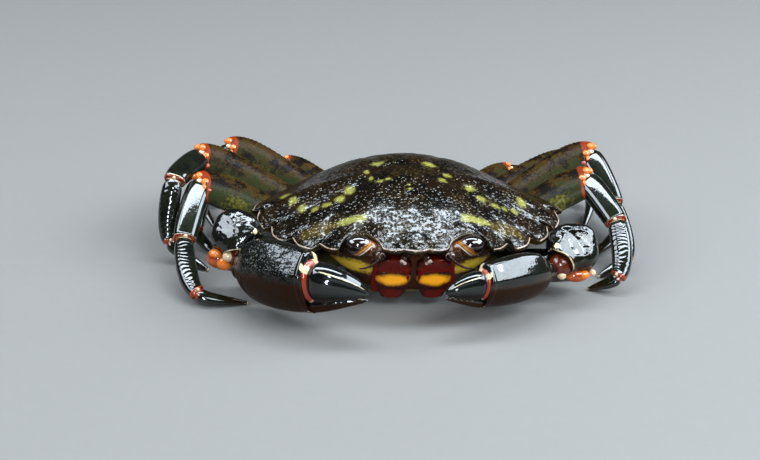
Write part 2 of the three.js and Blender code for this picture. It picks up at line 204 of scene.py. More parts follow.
def closed_surface(rings: Array, **masks: Array | float) -> Surface:
    """Joins rings of points into a closed surface, with a pole in the middle of each end ring.

    Args:
        rings: Points as rows of rings, in millimetres, shape (rows, columns, 3).
        masks: Mask values: single numbers or arrays that spread to the rows and columns.

    Returns:
        The surface, with its faces pointing out.
    """
    rows, columns = rings.shape[:2]
    number = np.arange(rows * columns).reshape(rows, columns)
    beside = np.roll(number, -1, axis=1)
    quads = np.stack([number[:-1], beside[:-1], beside[1:], number[1:]], -1).reshape(-1, 4)
    first, last = np.full(columns, rows * columns), np.full(columns, rows * columns + 1)
    fans = [(beside[0], number[0], first), (number[-1], beside[-1], last)]
    triangles = np.concatenate([np.stack(corners, -1) for corners in fans])
    painted = {}
    for name in MASKS:
        values = np.broadcast_to(np.clip(masks.get(name, 0.0), 0, 1), (rows, columns))
        painted[name] = np.concatenate([values.ravel(), values[[0, -1]].mean(1)])
    points = np.concatenate([rings.reshape(-1, 3), rings[[0, -1]].mean(1)])
    return Surface(points, quads, triangles, painted).outwards()


def joined(surfaces: list[Surface]) -> Surface:
    """Several closed surfaces as one.

    Args:
        surfaces: The surfaces.

    Returns:
        One surface, in which each keeps its own points.
    """
    offsets = np.cumsum([0] + [len(s.points) for s in surfaces[:-1]])
    return Surface(
        np.concatenate([s.points for s in surfaces]),
        np.concatenate([s.quads + n for s, n in zip(surfaces, offsets)]),
        np.concatenate([s.triangles + n for s, n in zip(surfaces, offsets)]),
        {name: np.concatenate([s.masks[name] for s in surfaces]) for name in MASKS},
    )


def turns(columns: int) -> Array:
    """Even angles round a full turn."""
    return np.linspace(0, math.tau, columns, endpoint=False)


def globe_angles(rows: int, columns: int) -> tuple[Array, Array]:
    """Angles from a ball's pole, shape (rows, 1), and round its axis, shape (1, columns)."""
    return np.linspace(0, math.pi, rows + 2)[1:-1, None], turns(columns)[None]


def globe(rows: int, columns: int) -> Array:
    """A ball of radius 1, by the sines and cosines of two angles.

    Args:
        rows: Rings from pole to pole.
        columns: Points of a ring.

    Returns:
        Directions from its middle, shape (rows, columns, 3).
    """
    polar, turn = globe_angles(rows, columns)
    level = np.sin(polar)
    return np.stack([level * np.cos(turn), level * np.sin(turn), np.cos(polar) + 0 * turn], -1)


def ball(centre: Sequence[float], half: Sequence[float], **masks: float) -> Surface:
    """An ellipsoid: a ball's directions times three half sizes."""
    return closed_surface(globe(14, 24) * half + centre, **masks)


def above_floor(rings: Array) -> Array:
    """The rings with no point below the floor."""
    rings[..., 2] = np.maximum(rings[..., 2], 0.0)
    return rings


@dataclass(frozen=True)
class Limb:
    """A tube with an oval section along a cubic curve.

    The curve leaves its start in the direction leave and arrives in the direction arrive. side is
    the direction of the section's thickness; high and thick are its half sizes at even stations.
    """

    start: Array
    end: Array
    side: Array
    high: Sequence[float]
    thick: Sequence[float]
    leave: Array | None = None
    arrive: Array | None = None
    bow: float = 0.3

    @property
    def length(self) -> float:
        """The straight distance from start to end."""
        return float(np.linalg.norm(self.end - self.start))

    def spine(self, t: Array) -> tuple[Array, Array, Array, Array]:
        """The cubic curve and its directions.

        Args:
            t: Places along it. Below 0 and above 1 it goes on straight.

        Returns:
            Points at t, and the directions of run, thickness and height there.
        """
        straight = unit(self.end - self.start)
        leave = straight if self.leave is None else self.leave
        arrive = straight if self.arrive is None else self.arrive
        reach = self.length * self.bow
        a, b = self.start, self.start + leave * reach
        c, d = self.end - arrive * reach, self.end
        s = np.clip(t, 0, 1)[..., None]
        centre = a * (1 - s) ** 3 + 3 * b * s * (1 - s) ** 2 + 3 * c * s * s * (1 - s) + d * s**3
        run = unit((b - a) * (1 - s) ** 2 + 2 * (c - b) * s * (1 - s) + (d - c) * s * s)
        beyond = (t - np.clip(t, 0, 1))[..., None] * self.length
        across = unit(self.side - run * (run @ self.side)[..., None])
        return centre + run * beyond, run, across, np.cross(run, across)

    def at(self, t: float) -> tuple[Array, Array, Array, Array]:
        """What spine tells, at one place."""
        return tuple(values[0] for values in self.spine(np.array([t])))

    def rings(self, t: Array, share: Array, turn: Array, swell: Array | float = 0.0,
              square: float = 1.0) -> Array:
        """Rings of the tube.

        Each point is the curve's point plus the section's thickness times the cosine of turn and
        its height times the sine, scaled by share and pushed out by swell. square below 1 raises
        the cosine and sine to that power, which makes the section squarer.

        Args:
            t: Places along the curve, shape (rows,).
            share: Scale of each ring, shape (rows,).
            turn: Angles round the section, shape (columns,).
            swell: Millimetres outwards, shape (rows, columns).
            square: Power of the sine and cosine.

        Returns:
            The rings, shape (rows, columns, 3).
        """
        centre, _, across, height = self.spine(t)
        cosine, sine = signed_power(np.cos(turn), square), signed_power(np.sin(turn), square)
        wide = (along(self.thick, t) * share)[:, None] * cosine + swell * np.cos(turn)
        tall = (along(self.high, t) * share)[:, None] * sine + swell * np.sin(turn)
        return centre[:, None] + across[:, None] * wide[..., None] + height[:, None] * tall[..., None]

    def plug(self, t: float, half: Sequence[float], rows: int, columns: int,
             power: float = 1.0) -> Array:
        """Rings of a flattened ball in the tube at t.

        Args:
            t: Its place along the curve.
            half: Half sizes along the run, the thickness and the height.
            rows: Rings from pole to pole.
            columns: Points of a ring.
            power: The polar angle's sine is raised to this, which flattens the ball's faces.

        Returns:
            The rings, shape (rows, columns, 3).
        """
        centre, run, across, height = self.at(t)
        polar, turn = globe_angles(rows, columns)
        level = np.sin(polar) ** power
        return (centre + run * (half[0] * np.cos(polar))[..., None]
                + across * (half[1] * level * np.cos(turn))[..., None]
                + height * (half[2] * level * np.sin(turn))[..., None])


def planed(points: Array, centre: Array, way: Array, share: float, left: float = 0.1) -> Array:
    """Points cut down to a nearly flat face that looks along way.

    Args:
        points: Rings of points, shape (rows, columns, 3).
        centre: The middle of each ring, shape (rows, 1, 3) or (3,).
        way: The face's direction.
        share: The face's distance from the middle, as a share of the ring's greatest one.
        left: How much of what stood out further is left.

    Returns:
        The points, shape (rows, columns, 3).
    """
    far = (points - centre) @ way
    beyond = np.maximum(far - share * far.max(-1, keepdims=True), 0)
    return points - way * (beyond * (1 - left))[..., None]


@dataclass(frozen=True)
class Ends:
    """How a limb piece closes: a rounded knuckle at its start and a cup at its end.

    neck is the knuckle's size as a share of the section, knuckle and cup are depths in
    millimetres, and lip is how wide the cup's rim stays, as a share of the section.
    """

    neck: float = 0.8
    knuckle: float = 1.1
    cup: float = 1.0
    lip: float = 0.84
    rows: int = 7

    def profile(self, length: float, rows: int) -> tuple[Array, Array]:
        """Places along the curve and the section's share at each.

        The knuckle is a quarter of an ellipse, the neck widens to the full section within an
        eighth of the length, the end turns over a small rim, and the cup is a quarter of an
        ellipse again.

        Args:
            length: The tube's length.
            rows: Rings between the ends.

        Returns:
            Places and shares.
        """
        quarter = np.linspace(0.06, 1, self.rows) * math.pi / 2
        body = np.linspace(0, 1, rows)
        widening = mix(self.neck, 1, ease(-0.02, 0.13, body))
        start = (-self.knuckle * np.cos(quarter), self.neck * np.sin(quarter))
        rim = (np.array([0.1, 0.12, 0.0]), np.array([0.975, 0.92, self.lip]))
        end = (-self.cup * np.sin(quarter), self.lip * np.cos(quarter * 0.96))
        if self.cup == 0:
            rim = (np.zeros(0), np.zeros(0))
            end = (np.array([0.12, 0.2]), np.array([0.7, 0.3]))
        t = [start[0][:-1] / length, body, 1 + rim[0] / length, 1 + end[0] / length]
        return np.concatenate(t), np.concatenate([start[1][:-1], widening, rim[1], end[1]])


# ---- Materials ---------------------------------------------------------------------------------
def linear(hex_colour: str) -> tuple[float, float, float, float]:
    """An sRGB hex colour as linear red, green, blue and alpha."""
    values = [int(hex_colour[i : i + 2], 16) / 255 for i in (1, 3, 5)]
    return (*(v / 12.92 if v <= 0.04045 else ((v + 0.055) / 1.055) ** 2.4 for v in values), 1.0)


def add_node(tree: bpy.types.NodeTree, kind: str, inputs: dict, **settings) -> bpy.types.Node:
    """Adds a node.

    Args:
        tree: The material's node tree.
        kind: The node's type name.
        inputs: Values or output sockets for its inputs, by name or number.
        settings: The node's own properties.

    Returns:
        The new node.
    """
    node = tree.nodes.new(kind)
    for key, value in settings.items():
        setattr(node, key, value)
    for socket, value in inputs.items():
        if isinstance(value, Socket):
            tree.links.new(value, node.inputs[socket])
        else:
            node.inputs[socket].default_value = value
    return node


@dataclass(frozen=True)
class Recipe:
    """A material in the making: its node tree, and the object's own coordinates as place.

    Sizes are in millimetres.
    """

    tree: bpy.types.NodeTree
    place: Socket

    def add(self, kind: str, output: str | int, inputs: dict, **settings) -> Socket:
        """One output of a new node."""
        return add_node(self.tree, kind, inputs, **settings).outputs[output]

    def noise(self, size: float, detail: float, place: Socket | None = None) -> Socket:
        """Cloudy noise from 0 to 1 whose blotches are about size across."""
        inputs = {"Scale": 1 / (size * MM), "Detail": detail, "Roughness": 0.6}
        return self.add("ShaderNodeTexNoise", "Fac", {"Vector": place or self.place, **inputs})

    def away(self, size: float, **inputs) -> Socket:
        """The distance from the nearest of scattered points, which lie size apart."""
        inputs = {"Vector": self.place, "Scale": 1 / (size * MM), **inputs}
        return self.add("ShaderNodeTexVoronoi", "Distance", inputs)

    def math(self, operation: str, a: Socket | float, b: Socket | float) -> Socket:
        """The result of one Math operation on two sockets or numbers."""
        return self.add("ShaderNodeMath", 0, {0: a, 1: b}, operation=operation)

    def scaled(self, value: Socket, factor: float, offset: float = 0.0) -> Socket:
        """A socket times a factor, plus an offset."""
        inputs = {0: value, 1: factor, 2: offset}
        return self.add("ShaderNodeMath", 0, inputs, operation="MULTIPLY_ADD")

    def step(self, value: Socket, low: float, high: float) -> Socket:
        """A smooth step of a socket, from 0 at low to 1 at high."""
        inputs = {"Value": value, "From Min": low, "From Max": high}
        return self.add("ShaderNodeMapRange", 0, inputs, interpolation_type="SMOOTHSTEP")

    def blend(self, factor: Socket, below: Socket | tuple, above: Socket | tuple) -> Socket:
        """Two colours, each a socket or a value, mixed by a factor."""
        inputs = {0: factor, MIX_BELOW: below, MIX_ABOVE: above}
        return self.add("ShaderNodeMix", MIX_RESULT, inputs, data_type="RGBA")

    def bump(self, height: Socket, distance: float, strength: float = 1.0) -> Socket:
        """Normals bent as by a relief that stands distance tall where height is 1."""
        inputs = {"Height": height, "Strength": strength, "Distance": distance * MM}
        return self.add("ShaderNodeBump", "Normal", inputs)


@dataclass(frozen=True)
class Finish:
    """What a piece is made of. A kind of finish tells its shader's inputs."""

    name: str

    def shading(self, recipe: Recipe) -> dict:
        """The surface shader's inputs."""
        raise NotImplementedError

    def material(self) -> bpy.types.Material:
        """The material, made once and shared by all pieces of this finish.

        Returns:
            The material.
        """
        made = bpy.data.materials.get(self.name)
        if made:
            return made
        made = bpy.data.materials.new(self.name)
        made.use_nodes = True
        tree = made.node_tree
        tree.nodes.clear()
        place = add_node(tree, "ShaderNodeTexCoord", {}).outputs["Object"]
        shader = add_node(tree, "ShaderNodeBsdfPrincipled", self.shading(Recipe(tree, place)))
        add_node(tree, "ShaderNodeOutputMaterial", {"Surface": shader.outputs["BSDF"]})
        return made


@dataclass(frozen=True)
class Cuticle(Finish):
    """Crab shell: pigmented chitin and chalk, grown in one piece and wet with a film of water.

    The pigment goes from dark to light in patches of the size mottle, and contrast is half the
    range of the noise over which it turns. Over it lie the colours wash, band, spot and pale, each
    where the mask of its name is high; their edges wander by raggedness in steps of the size
    ragged, and softness widens them. Granules stand a granule apart and granule_height tall. Their
    tips are tinted with the light colour and the gaps between them shaded with the dark one.

    A thin coat stands for the water. It gives sharp, cool reflections, which the granules break
    into small sparks. Where the mask film is high, the water is deep and hides the granules, and
    where the mask dry is high there is none. broken is how far crosswise wrinkles and grains
    part the film. Sizes are in millimetres.
    """

    dark: str
    light: str
    wash: str
    spot: str
    band: str
    pale: str
    mottle: float = 4.0
    contrast: float = 0.12
    granule: float = 0.6
    granule_height: float = 0.05
    granule_tint: float = 0.3
    gap_shade: float = 0.3
    ragged: float = 0.7
    raggedness: float = 0.5
    softness: float = 1.0
    unevenness: float = 0.3
    broken: float = 0.0
    roughness: float = 0.3
    water: float = 1.0
    chitin_ior: float = 1.5
    film_ior: float = 1.56
    film_roughness: float = 0.03

    def shading(self, recipe: Recipe) -> dict:
        """The pigments, then the granules' tint and relief, then the film of water.

        Args:
            recipe: The material in the making.

        Returns:
            The surface shader's inputs.
        """
        masks = {name: recipe.add("ShaderNodeAttribute", "Fac", {}, attribute_name=name)
                 for name in MASKS}
        fleck = recipe.noise(self.mottle / 6, 3.0)
        grain = recipe.step(recipe.away(self.granule, Randomness=0.9), 0.52, 0.05)
        bare = recipe.scaled(masks["film"], -0.9, 1.0)
        colour = self.pigment(recipe, masks, fleck)
        plain = recipe.math("MULTIPLY", bare, recipe.scaled(masks["spot"], -0.5, 1.0))
        for factor, offset, tone in ((self.granule_tint, 0.0, self.light),
                                     (-self.gap_shade, self.gap_shade, self.dark)):
            share = recipe.math("MULTIPLY", recipe.scaled(grain, factor, offset), plain)
            colour = recipe.blend(share, colour, linear(tone))
        height = recipe.math("ADD", recipe.math("MULTIPLY", grain, bare),
                             recipe.scaled(fleck, self.unevenness))
        relief = recipe.bump(height, self.granule_height)
        wet = recipe.scaled(masks["dry"], -self.water, self.water)
        return {
            "Base Color": colour, "Roughness": recipe.scaled(fleck, 0.2, self.roughness - 0.1),
            "IOR": self.chitin_ior, "Specular IOR Level": 0.05, "Normal": relief,
            "Coat Weight": recipe.math("MULTIPLY", wet, self.film_left(recipe, grain, bare)),
            "Coat Roughness": self.film_roughness, "Coat IOR": self.film_ior, "Coat Normal": relief,
        }

    def pigment(self, recipe: Recipe, masks: dict[str, Socket], fleck: Socket) -> Socket:
        """The colour without granules.

        Args:
            recipe: The material in the making.
            masks: The masks' sockets, by name.
            fleck: Noise finer than the patches.

        Returns:
            The colour's socket.
        """
        patch = recipe.noise(self.mottle, 5.0)
        both = recipe.math("ADD", recipe.scaled(patch, 0.65), recipe.scaled(fleck, 0.35))
        ground = recipe.step(both, 0.5 - self.contrast, 0.5 + self.contrast)
        colour = recipe.blend(ground, linear(self.dark), linear(self.light))
        washed = recipe.math("ADD", masks["wash"], recipe.scaled(patch, 1.2, -0.6))
        colour = recipe.blend(recipe.step(washed, 0.3, 0.7), colour, linear(self.wash))
        edge = recipe.scaled(recipe.noise(self.ragged, 3.0), self.raggedness, -self.raggedness / 2)
        for name, width in (("band", 0.14), ("spot", 0.12), ("pale", 0.12)):
            width *= self.softness
            share = recipe.step(recipe.math("ADD", masks[name], edge), 0.5 - width, 0.5 + width)
            colour = recipe.blend(share, colour, linear(getattr(self, name)))
        return colour

    def film_left(self, recipe: Recipe, grain: Socket, bare: Socket) -> Socket:
        """The film is thin between bare grains and gone along crosswise wrinkles.

        Args:
            recipe: The material in the making.
            grain: 1 in the middle of a granule.
            bare: How far the granules stand out of the water.

        Returns:
            The share of the film that is left.
        """
        stretch = {0: recipe.place, 1: (0.45, 1.0, 1.0)}
        stretched = recipe.add("ShaderNodeVectorMath", 0, stretch, operation="MULTIPLY")
        wrinkle = recipe.step(recipe.noise(0.7, 2.0, stretched), 0.5, 0.54)
        parted = recipe.math("MAXIMUM", wrinkle, recipe.scaled(grain, -0.2, 0.2))
        return recipe.scaled(recipe.math("MULTIPLY", parted, bare), -self.broken, 1.0)


@dataclass(frozen=True)
class Cornea(Finish):
    """The eye's cornea: clear hard chitin over thousands of tiny facets, black from within."""

    black: str
    brown: str
    facet: float = 0.12
    facet_height: float = 0.004

    def shading(self, recipe: Recipe) -> dict:
        """Facets, black in their middles, under a hard clear coat.

        Args:
            recipe: The material in the making.

        Returns:
            The surface shader's inputs.
        """
        away = recipe.away(self.facet)
        return {
            "Base Color": recipe.blend(away, linear(self.black), linear(self.brown)),
            "Roughness": 0.12, "IOR": 1.5, "Normal": recipe.bump(away, self.facet_height, 0.5),
            "Coat Weight": 1.0, "Coat Roughness": 0.02,
        }


@dataclass(frozen=True)
class MattPaint(Finish):
    """Matt paint, its brightness uneven by a few per cent in grains. Its grain is in millimetres."""

    colour: str
    grain: float = 2.5
    unevenness: float = 0.03
    roughness: float = 0.7

    def shading(self, recipe: Recipe) -> dict:
        """One colour, brighter and darker by the unevenness.

        Args:
            recipe: The material in the making.

        Returns:
            The surface shader's inputs.
        """
        grains = {"Vector": recipe.place, "Scale": 1 / (self.grain * MM)}
        value = recipe.add("ShaderNodeMapRange", 0, {
            "Value": recipe.add("ShaderNodeTexNoise", "Fac", grains),
            "To Min": 1 - self.unevenness, "To Max": 1 + self.unevenness,
        })
        tint = {"Color": linear(self.colour), "Value": value}
        tinted = recipe.add("ShaderNodeHueSaturation", "Color", tint)
        return {"Base Color": tinted, "Roughness": self.roughness}


# Each finish lists its name and the colours dark, light, wash, spot, band and pale.
# SHELL's pale colour is the painted highlight along the rim.
SHELL = Cuticle("shell_granular_chitin",
                "#030201", "#33260a", "#2b1c08", "#8b8840", "#6e5a1c", "#a08b7c",
                mottle=5.0, contrast=0.09, granule=0.74, granule_height=0.105, granule_tint=0.4,
                gap_shade=0.9, ragged=0.9, raggedness=1.0, softness=1.7, unevenness=0.04, broken=1.0)
BELLY = Cuticle("belly_pale_chitin",
                "#6b653a", "#857b50", "#220a07", "#ffd040", "#3c0a05", "#a99d70",
                mottle=6.0, granule=0.8, granule_height=0.03, roughness=0.34, softness=2.0)
# THIGH's pale colour is used only for the painted highlight along the merus's top keel.
THIGH = Cuticle("thigh_mottled_chitin",
                "#070502", "#38240a", "#1a1f08", "#5a5415", "#6e240c", "#b5b0a0",
                mottle=3.4, contrast=0.06, granule=0.55, granule_height=0.03, granule_tint=0.1,
                gap_shade=0.25, roughness=0.5, unevenness=0.2)
SHIN = Cuticle("shin_dark_chitin",
               "#060705", "#12150a", "#1b1006", "#3a3b1c", "#7d2a10", "#bfae8c",
               mottle=4.0, granule=0.45, granule_height=0.008, granule_tint=0.12, roughness=0.24)
CLAW = Cuticle("claw_smooth_chitin",
               "#060604", "#0f1009", "#211005", "#36341a", "#8f3413", "#c4ae88",
               mottle=6.0, granule=0.46, granule_height=0.075, granule_tint=0.2, roughness=0.24,
               unevenness=0.05, broken=0.9)
FINGER = Cuticle("finger_polished_chitin",
                 "#050605", "#0b0e0b", "#120905", "#1f261b", "#8a3414", "#b9ab8c",
                 mottle=5.0, granule=0.4, granule_height=0.012, granule_tint=0.1, roughness=0.2)
TAIL = replace(BELLY, name="tail_dark_chitin", wash="#16140a")
MOUTH = Cuticle("mouth_plate_chitin",
                "#1d0503", "#3a0a04", "#5c0e05", "#ffa81c", "#540e05", "#a5763c",
                mottle=3.0, granule=0.7, granule_height=0.02, granule_tint=0.05, gap_shade=0.1,
                roughness=0.26, ragged=1.4, raggedness=0.3, softness=2.0)
STALK = Cuticle("eyestalk_chitin",
                "#2c1408", "#6a3a10", "#1c0e07", "#a8701c", "#5a2a0e", "#d8bfae",
                mottle=1.3, granule=0.3, granule_height=0.01, roughness=0.24, raggedness=0.8, softness=2.6)
FEELER = Cuticle("feeler_ringed_chitin",
                 "#22100a", "#3e2417", "#1d0e08", "#6b4a24", "#5a2114", "#b3988a",
                 mottle=1.2, granule=0.3, granule_height=0.01, roughness=0.26)
JOINT = Cuticle("joint_soft_skin",
                "#7a2a0c", "#a8521a", "#1f0905", "#c0651c", "#80250d", "#cdb795",
                mottle=1.4, granule=0.35, granule_height=0.02, granule_tint=0.2, roughness=0.34, water=0.8)
CORNEA = Cornea("cornea_black_facets", "#050607", "#1a0f08")
FLOOR = MattPaint("floor_matt_paint", "#666360")


def make_piece(name: str, surface: Surface, finish: Finish, slot: str, *nodes: str) -> None:
    """Makes a surface an object that rides on the crab.

    Args:
        name: The object's name.
        surface: Its shape and masks.
        finish: What it is made of.
        slot: Not used.
        nodes: CAD nodes that it stands for.
    """
    mesh = bpy.data.meshes.new(name)
    mesh.from_pydata(surface.points * MM, [], surface.quads.tolist() + surface.triangles.tolist())
    for mask, values in surface.masks.items():
        attribute = mesh.attributes.new(mask, "FLOAT", "POINT")
        attribute.data.foreach_set("value", values.astype(np.float32))
    mesh.shade_smooth()
    mesh.materials.append(finish.material())
    piece = bpy.data.objects.new(name, mesh)
    bpy.context.scene.collection.objects.link(piece)
    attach(piece, "root")
    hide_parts(*nodes)
    told = ", ".join(nodes) or "no node"
    LOG.info("%s: %d points, stands for %s", name, len(surface.points), told)


# ---- The shell ---------------------------------------------------------------------------------
def folded(points: Array) -> Array:
    """Points seen from above, those of the right half on their mirror place on the left."""
    return np.stack([np.abs(points[..., 0]), points[..., 1]], -1)


@dataclass(frozen=True)
class Carapace:
    """The broad shell: a low dome with a toothed rim.

    half_rim lists the rim from the front's middle lobe round the left side to the middle of the
    rear edge: distance from the midline, distance along Y, height, and how rounded the rim is
    there, from 0 at a sharp point to 1 on a smooth curve.
    """

    crown: tuple[float, float] = (0.0, -1.0)
    top: float = 24.8
    belly_roof: float = 12.8
    thickness: float = 1.0
    bead: float = 0.5
    lengthwise_power: float = 2.3
    sideways_power: float = 1.7
    furrow_width: float = 1.1
    ridge: float = 0.22
    rim_groove: float = 0.16
    unevenness: float = 0.02
    inner_rows: int = 80
    outer_rows: int = 30
    per_span: int = 10
    half_rim: tuple = (
        (0, -27, 17, 0.9), (1.6, -26.7, 17, 0.9), (2.6, -26.1, 17, 0.4), (3.6, -26.4, 16.9, 0.9),
        (5.2, -26.2, 16.8, 0.9), (7.1, -24.8, 16.6, 0.7), (8.4, -22.6, 17.6, 1), (11.6, -21.1, 18.4, 1),
        (14.8, -21.9, 17.4, 1), (16.8, -24.6, 16.2, 0.15), (18.9, -22.6, 15.5, 1), (20.6, -19.6, 15.1, 0.3),
        (22.5, -20.9, 14.5, 0.15), (25.2, -18.4, 14.2, 1), (26.4, -14.9, 14.3, 0.3),
        (28.4, -16.0, 13.9, 0.15), (30.6, -12.9, 13.8, 1), (31.0, -9.0, 14.2, 0.3),
        (32.7, -9.9, 14.1, 0.15), (34.1, -6.4, 14.4, 1), (33.6, -2.6, 15.1, 0.3),
        (35.0, -3.0, 15.3, 0.15), (34.2, 1.2, 14.8, 1), (32.2, 6.0, 13.8, 1), (29.4, 11.0, 12.9, 1),
        (25.6, 16.2, 12.5, 1), (21.0, 21.4, 12.5, 1), (16.6, 25.0, 12.7, 0.8), (12.0, 26.6, 12.9, 1),
        (6.0, 26.7, 13.0, 1), (0, 26.6, 13.0, 1),
    )
    # Swellings of the left half: place, half sizes, turn in degrees and height.
    lobes: tuple = (
        (7.5, -12.5, 5.0, 6.5, 12, 0.3),  # over the stomach, in front
        (0.0, -4.0, 5.5, 5.0, 0, 0.25),  # over the stomach, behind
        (0.0, -14.5, 1.5, 5.0, 0, 0.2),
        (0.0, 8.0, 5.5, 5.5, 0, 0.35),  # over the heart
        (0.0, 18.5, 8.0, 3.5, 0, 0.15),
        (20.0, -14.0, 4.5, 3.5, -20, 0.25),  # over the liver
        (21.5, -3.5, 8.5, 3.8, -12, 0.35),  # over the gills
        (15.5, 9.5, 8.0, 9.0, 20, 0.3),
    )
    # Furrows of the left half, each a line of points seen from above, with its depth.
    furrows: tuple = (
        (0.3, ((19.5, -18.0), (16.0, -11.5), (12.0, -5.5), (7.5, -0.2), (3.4, 2.2), (0.0, 2.8))),
        (0.35, ((6.8, 0.8), (6.2, 6.5), (7.6, 13.0), (10.5, 17.0))),
        (0.2, ((12.0, -5.5), (19.0, -8.4), (26.0, -9.5))),
    )
    # Yellow-green marks: place and half sizes, on the sides where they lie.
    spots: tuple = (
        (-6.6, 4.4, 1.9, 1.5), (5.1, 2.8, 1.9, 1.3), (-9.5, -0.1, 0.7, 1.5), (-8.6, -3.9, 0.7, 1.4),
        (-6.9, -6.0, 1.2, 0.8), (-5.0, -5.7, 0.8, 0.8), (8.3, -2.2, 1.2, 1.4), (7.1, -5.5, 1.2, 1.2),
        (-27.7, -0.5, 1.4, 1.7), (-26.0, -4.6, 1.2, 1.6), (-24.0, -8.0, 1.3, 1.2), (-21.2, -9.6, 1.1, 1.0),
        (-18.6, -9.6, 1.3, 1.1), (-15.8, -8.8, 1.3, 1.4), (-13.5, -6.6, 1.5, 1.7),
        (13.2, -5.7, 1.4, 1.2), (15.7, -8.8, 1.5, 1.3), (18.6, -9.8, 1.1, 1.2), (20.9, -9.7, 0.9, 1.0),
        (23.1, -9.2, 1.0, 1.1), (25.1, -5.7, 1.3, 2.0), (-0.6, -8.7, 0.5, 0.5), (-0.5, -10.4, 0.5, 0.5),
    )
    # The stripe over each orbit: points of its middle line on the left half.
    stripe: tuple = ((11.2, -17.5), (13.4, -17.2), (16.6, -16.8), (20.4, -16.6), (23.4, -16.2))

    def rim(self) -> Array:
        """The whole rim, round from the front's middle.

        Between two of its points it is a cubic curve, whose direction at each is that from the
        last point to the next one times half its roundness.

        Returns:
            Rim points, shape (columns, 3).
        """
        half = np.array(self.half_rim, float)
        whole = np.concatenate([half, half[-2:0:-1] * (-1, 1, 1, 1)])
        points, roundness = whole[:, :3], whole[:, 3:]
        slope = (np.roll(points, -1, 0) - np.roll(points, 1, 0)) / 2 * roundness
        t = (np.arange(self.per_span) / self.per_span)[None, :, None]
        a, b = points[:, None], np.roll(points, -1, 0)[:, None]
        da, db = slope[:, None], np.roll(slope, -1, 0)[:, None]
        curve = mix(a, b, t * t * (3 - 2 * t)) + da * t * (1 - t) ** 2 - db * t * t * (1 - t)
        return curve.reshape(-1, 3)

    def smooth_rim(self) -> Array:
        """The rim without its teeth: the mean over two spans to each side.

        Returns:
            Rim points, shape (columns, 3).
        """
        rim = self.rim()
        steps = range(-2 * self.per_span, 2 * self.per_span + 1)
        return np.mean([np.roll(rim, step, axis=0) for step in steps], axis=0)

    def relief(self, points: Array) -> Array:
        """How far lobes stand up and furrows lie deep.

        Args:
            points: Points seen from above, shape (..., 3).

        Returns:
            Millimetres upwards, shape (...).
        """
        left = folded(points)
        height = np.zeros(points.shape[:-1])
        for x, y, half_x, half_y, degrees, rise in self.lobes:
            turn = math.radians(degrees)
            dx, dy = left[..., 0] - x, left[..., 1] - y
            u = (dx * math.cos(turn) + dy * math.sin(turn)) / half_x
            v = (dy * math.cos(turn) - dx * math.sin(turn)) / half_y
            height += rise * np.exp(-((u * u + v * v) ** 1.4))
        for depth, line in self.furrows:
            height -= depth * hill(distance_to_line(left, np.array(line)), 0, self.furrow_width)
        return height

    def marks(self, points: Array) -> tuple[Array, Array]:
        """The masks of the yellow-green spots and of the ochre stripes over the orbits.

        Args:
            points: Points seen from above, shape (..., 3).

        Returns:
            Both masks, shape (...).
        """
        spots = np.zeros(points.shape[:-1])
        for x, y, half_x, half_y in self.spots:
            away = np.hypot((points[..., 0] - x) / half_x, (points[..., 1] - y) / half_y)
            spots = np.maximum(spots, 1 - 0.62 * away)
        left = folded(points)
        away = distance_to_line(left, np.array(self.stripe))
        outwards = ease(15.0, 19.0, left[..., 0])
        stripe = 1 - 0.5 * away / mix(1.0, 1.7, outwards)
        spots = np.maximum(spots, stripe - 0.9 * outwards)
        return np.clip(spots, 0, 1), np.clip(stripe, 0, 1) * mix(0.4, 0.86, outwards)

    def dome(self, rim: Array, smooth: Array, shares: Array) -> Array:
        """The upper side.

        A point lies at a share of the way from the crown's axis to the rim. Its height falls from
        the top to the rim by that share raised to a power, higher lengthwise than sideways. The
        teeth fade in over the outermost seventh, and each goes on inwards as a low ridge.

        Args:
            rim: The rim's points, shape (columns, 3).
            smooth: The rim without teeth, shape (columns, 3).
            shares: Shares of the rings, shape (rows, 1).

        Returns:
            Rings from the crown outwards, shape (rows, columns, 3).
        """
        crown = np.array([*self.crown, 0.0])
        out = unit((rim - crown) * (1, 1, 0))
        power = mix(self.lengthwise_power, self.sideways_power, out[:, 0] ** 2)
        edge = mix(smooth, rim, ease(0.83, 1.0, shares)[..., None])
        dome = mix(crown, edge, shares[..., None])
        dome[..., 2] = mix(self.top, edge[..., 2], shares**power)
        lifted = self.relief(dome) * ease(1.0, 0.86, shares)
        ridge = np.clip(((rim - smooth) * out).sum(-1), -1.2, 1.6)
        lifted += self.ridge * ridge * hill(shares, 0.94, 0.05)
        lifted -= self.rim_groove * hill(shares, 0.975, 0.012)
        dome[..., 2] += lifted + self.unevenness * ripples(dome, 3.0, 11)
        return dome

    def underside(self, rim: Array, smooth: Array) -> Array:
        """The rim's round bead, and the underside.

        The underside rises to the belly's roof with the square of the share from crown to rim.

        Args:
            rim: The rim's points, shape (columns, 3).
            smooth: The rim without teeth, shape (columns, 3).

        Returns:
            Rings from the rim inwards, shape (rows, columns, 3).
        """
        normal = unit(np.cross(np.roll(rim, -1, 0) - np.roll(rim, 1, 0), UP))
        angle = np.linspace(0.1, 0.95, 9)[:, None, None] * math.pi
        bead = rim - normal * self.bead + self.bead * (normal * np.sin(angle) + UP * np.cos(angle))
        bead[..., 2] -= self.bead * 0.6
        shares = np.array([0.965, 0.94, 0.91, 0.86, 0.78, 0.66, 0.5, 0.3, 0.1])[:, None]
        edge = mix(smooth, rim, ease(0.86, 0.96, shares)[..., None])
        under = mix(np.array([*self.crown, 0.0]), edge, shares[..., None])
        under[..., 2] = mix(self.belly_roof, edge[..., 2] - self.thickness, shares**2)
        return np.concatenate([bead, under])

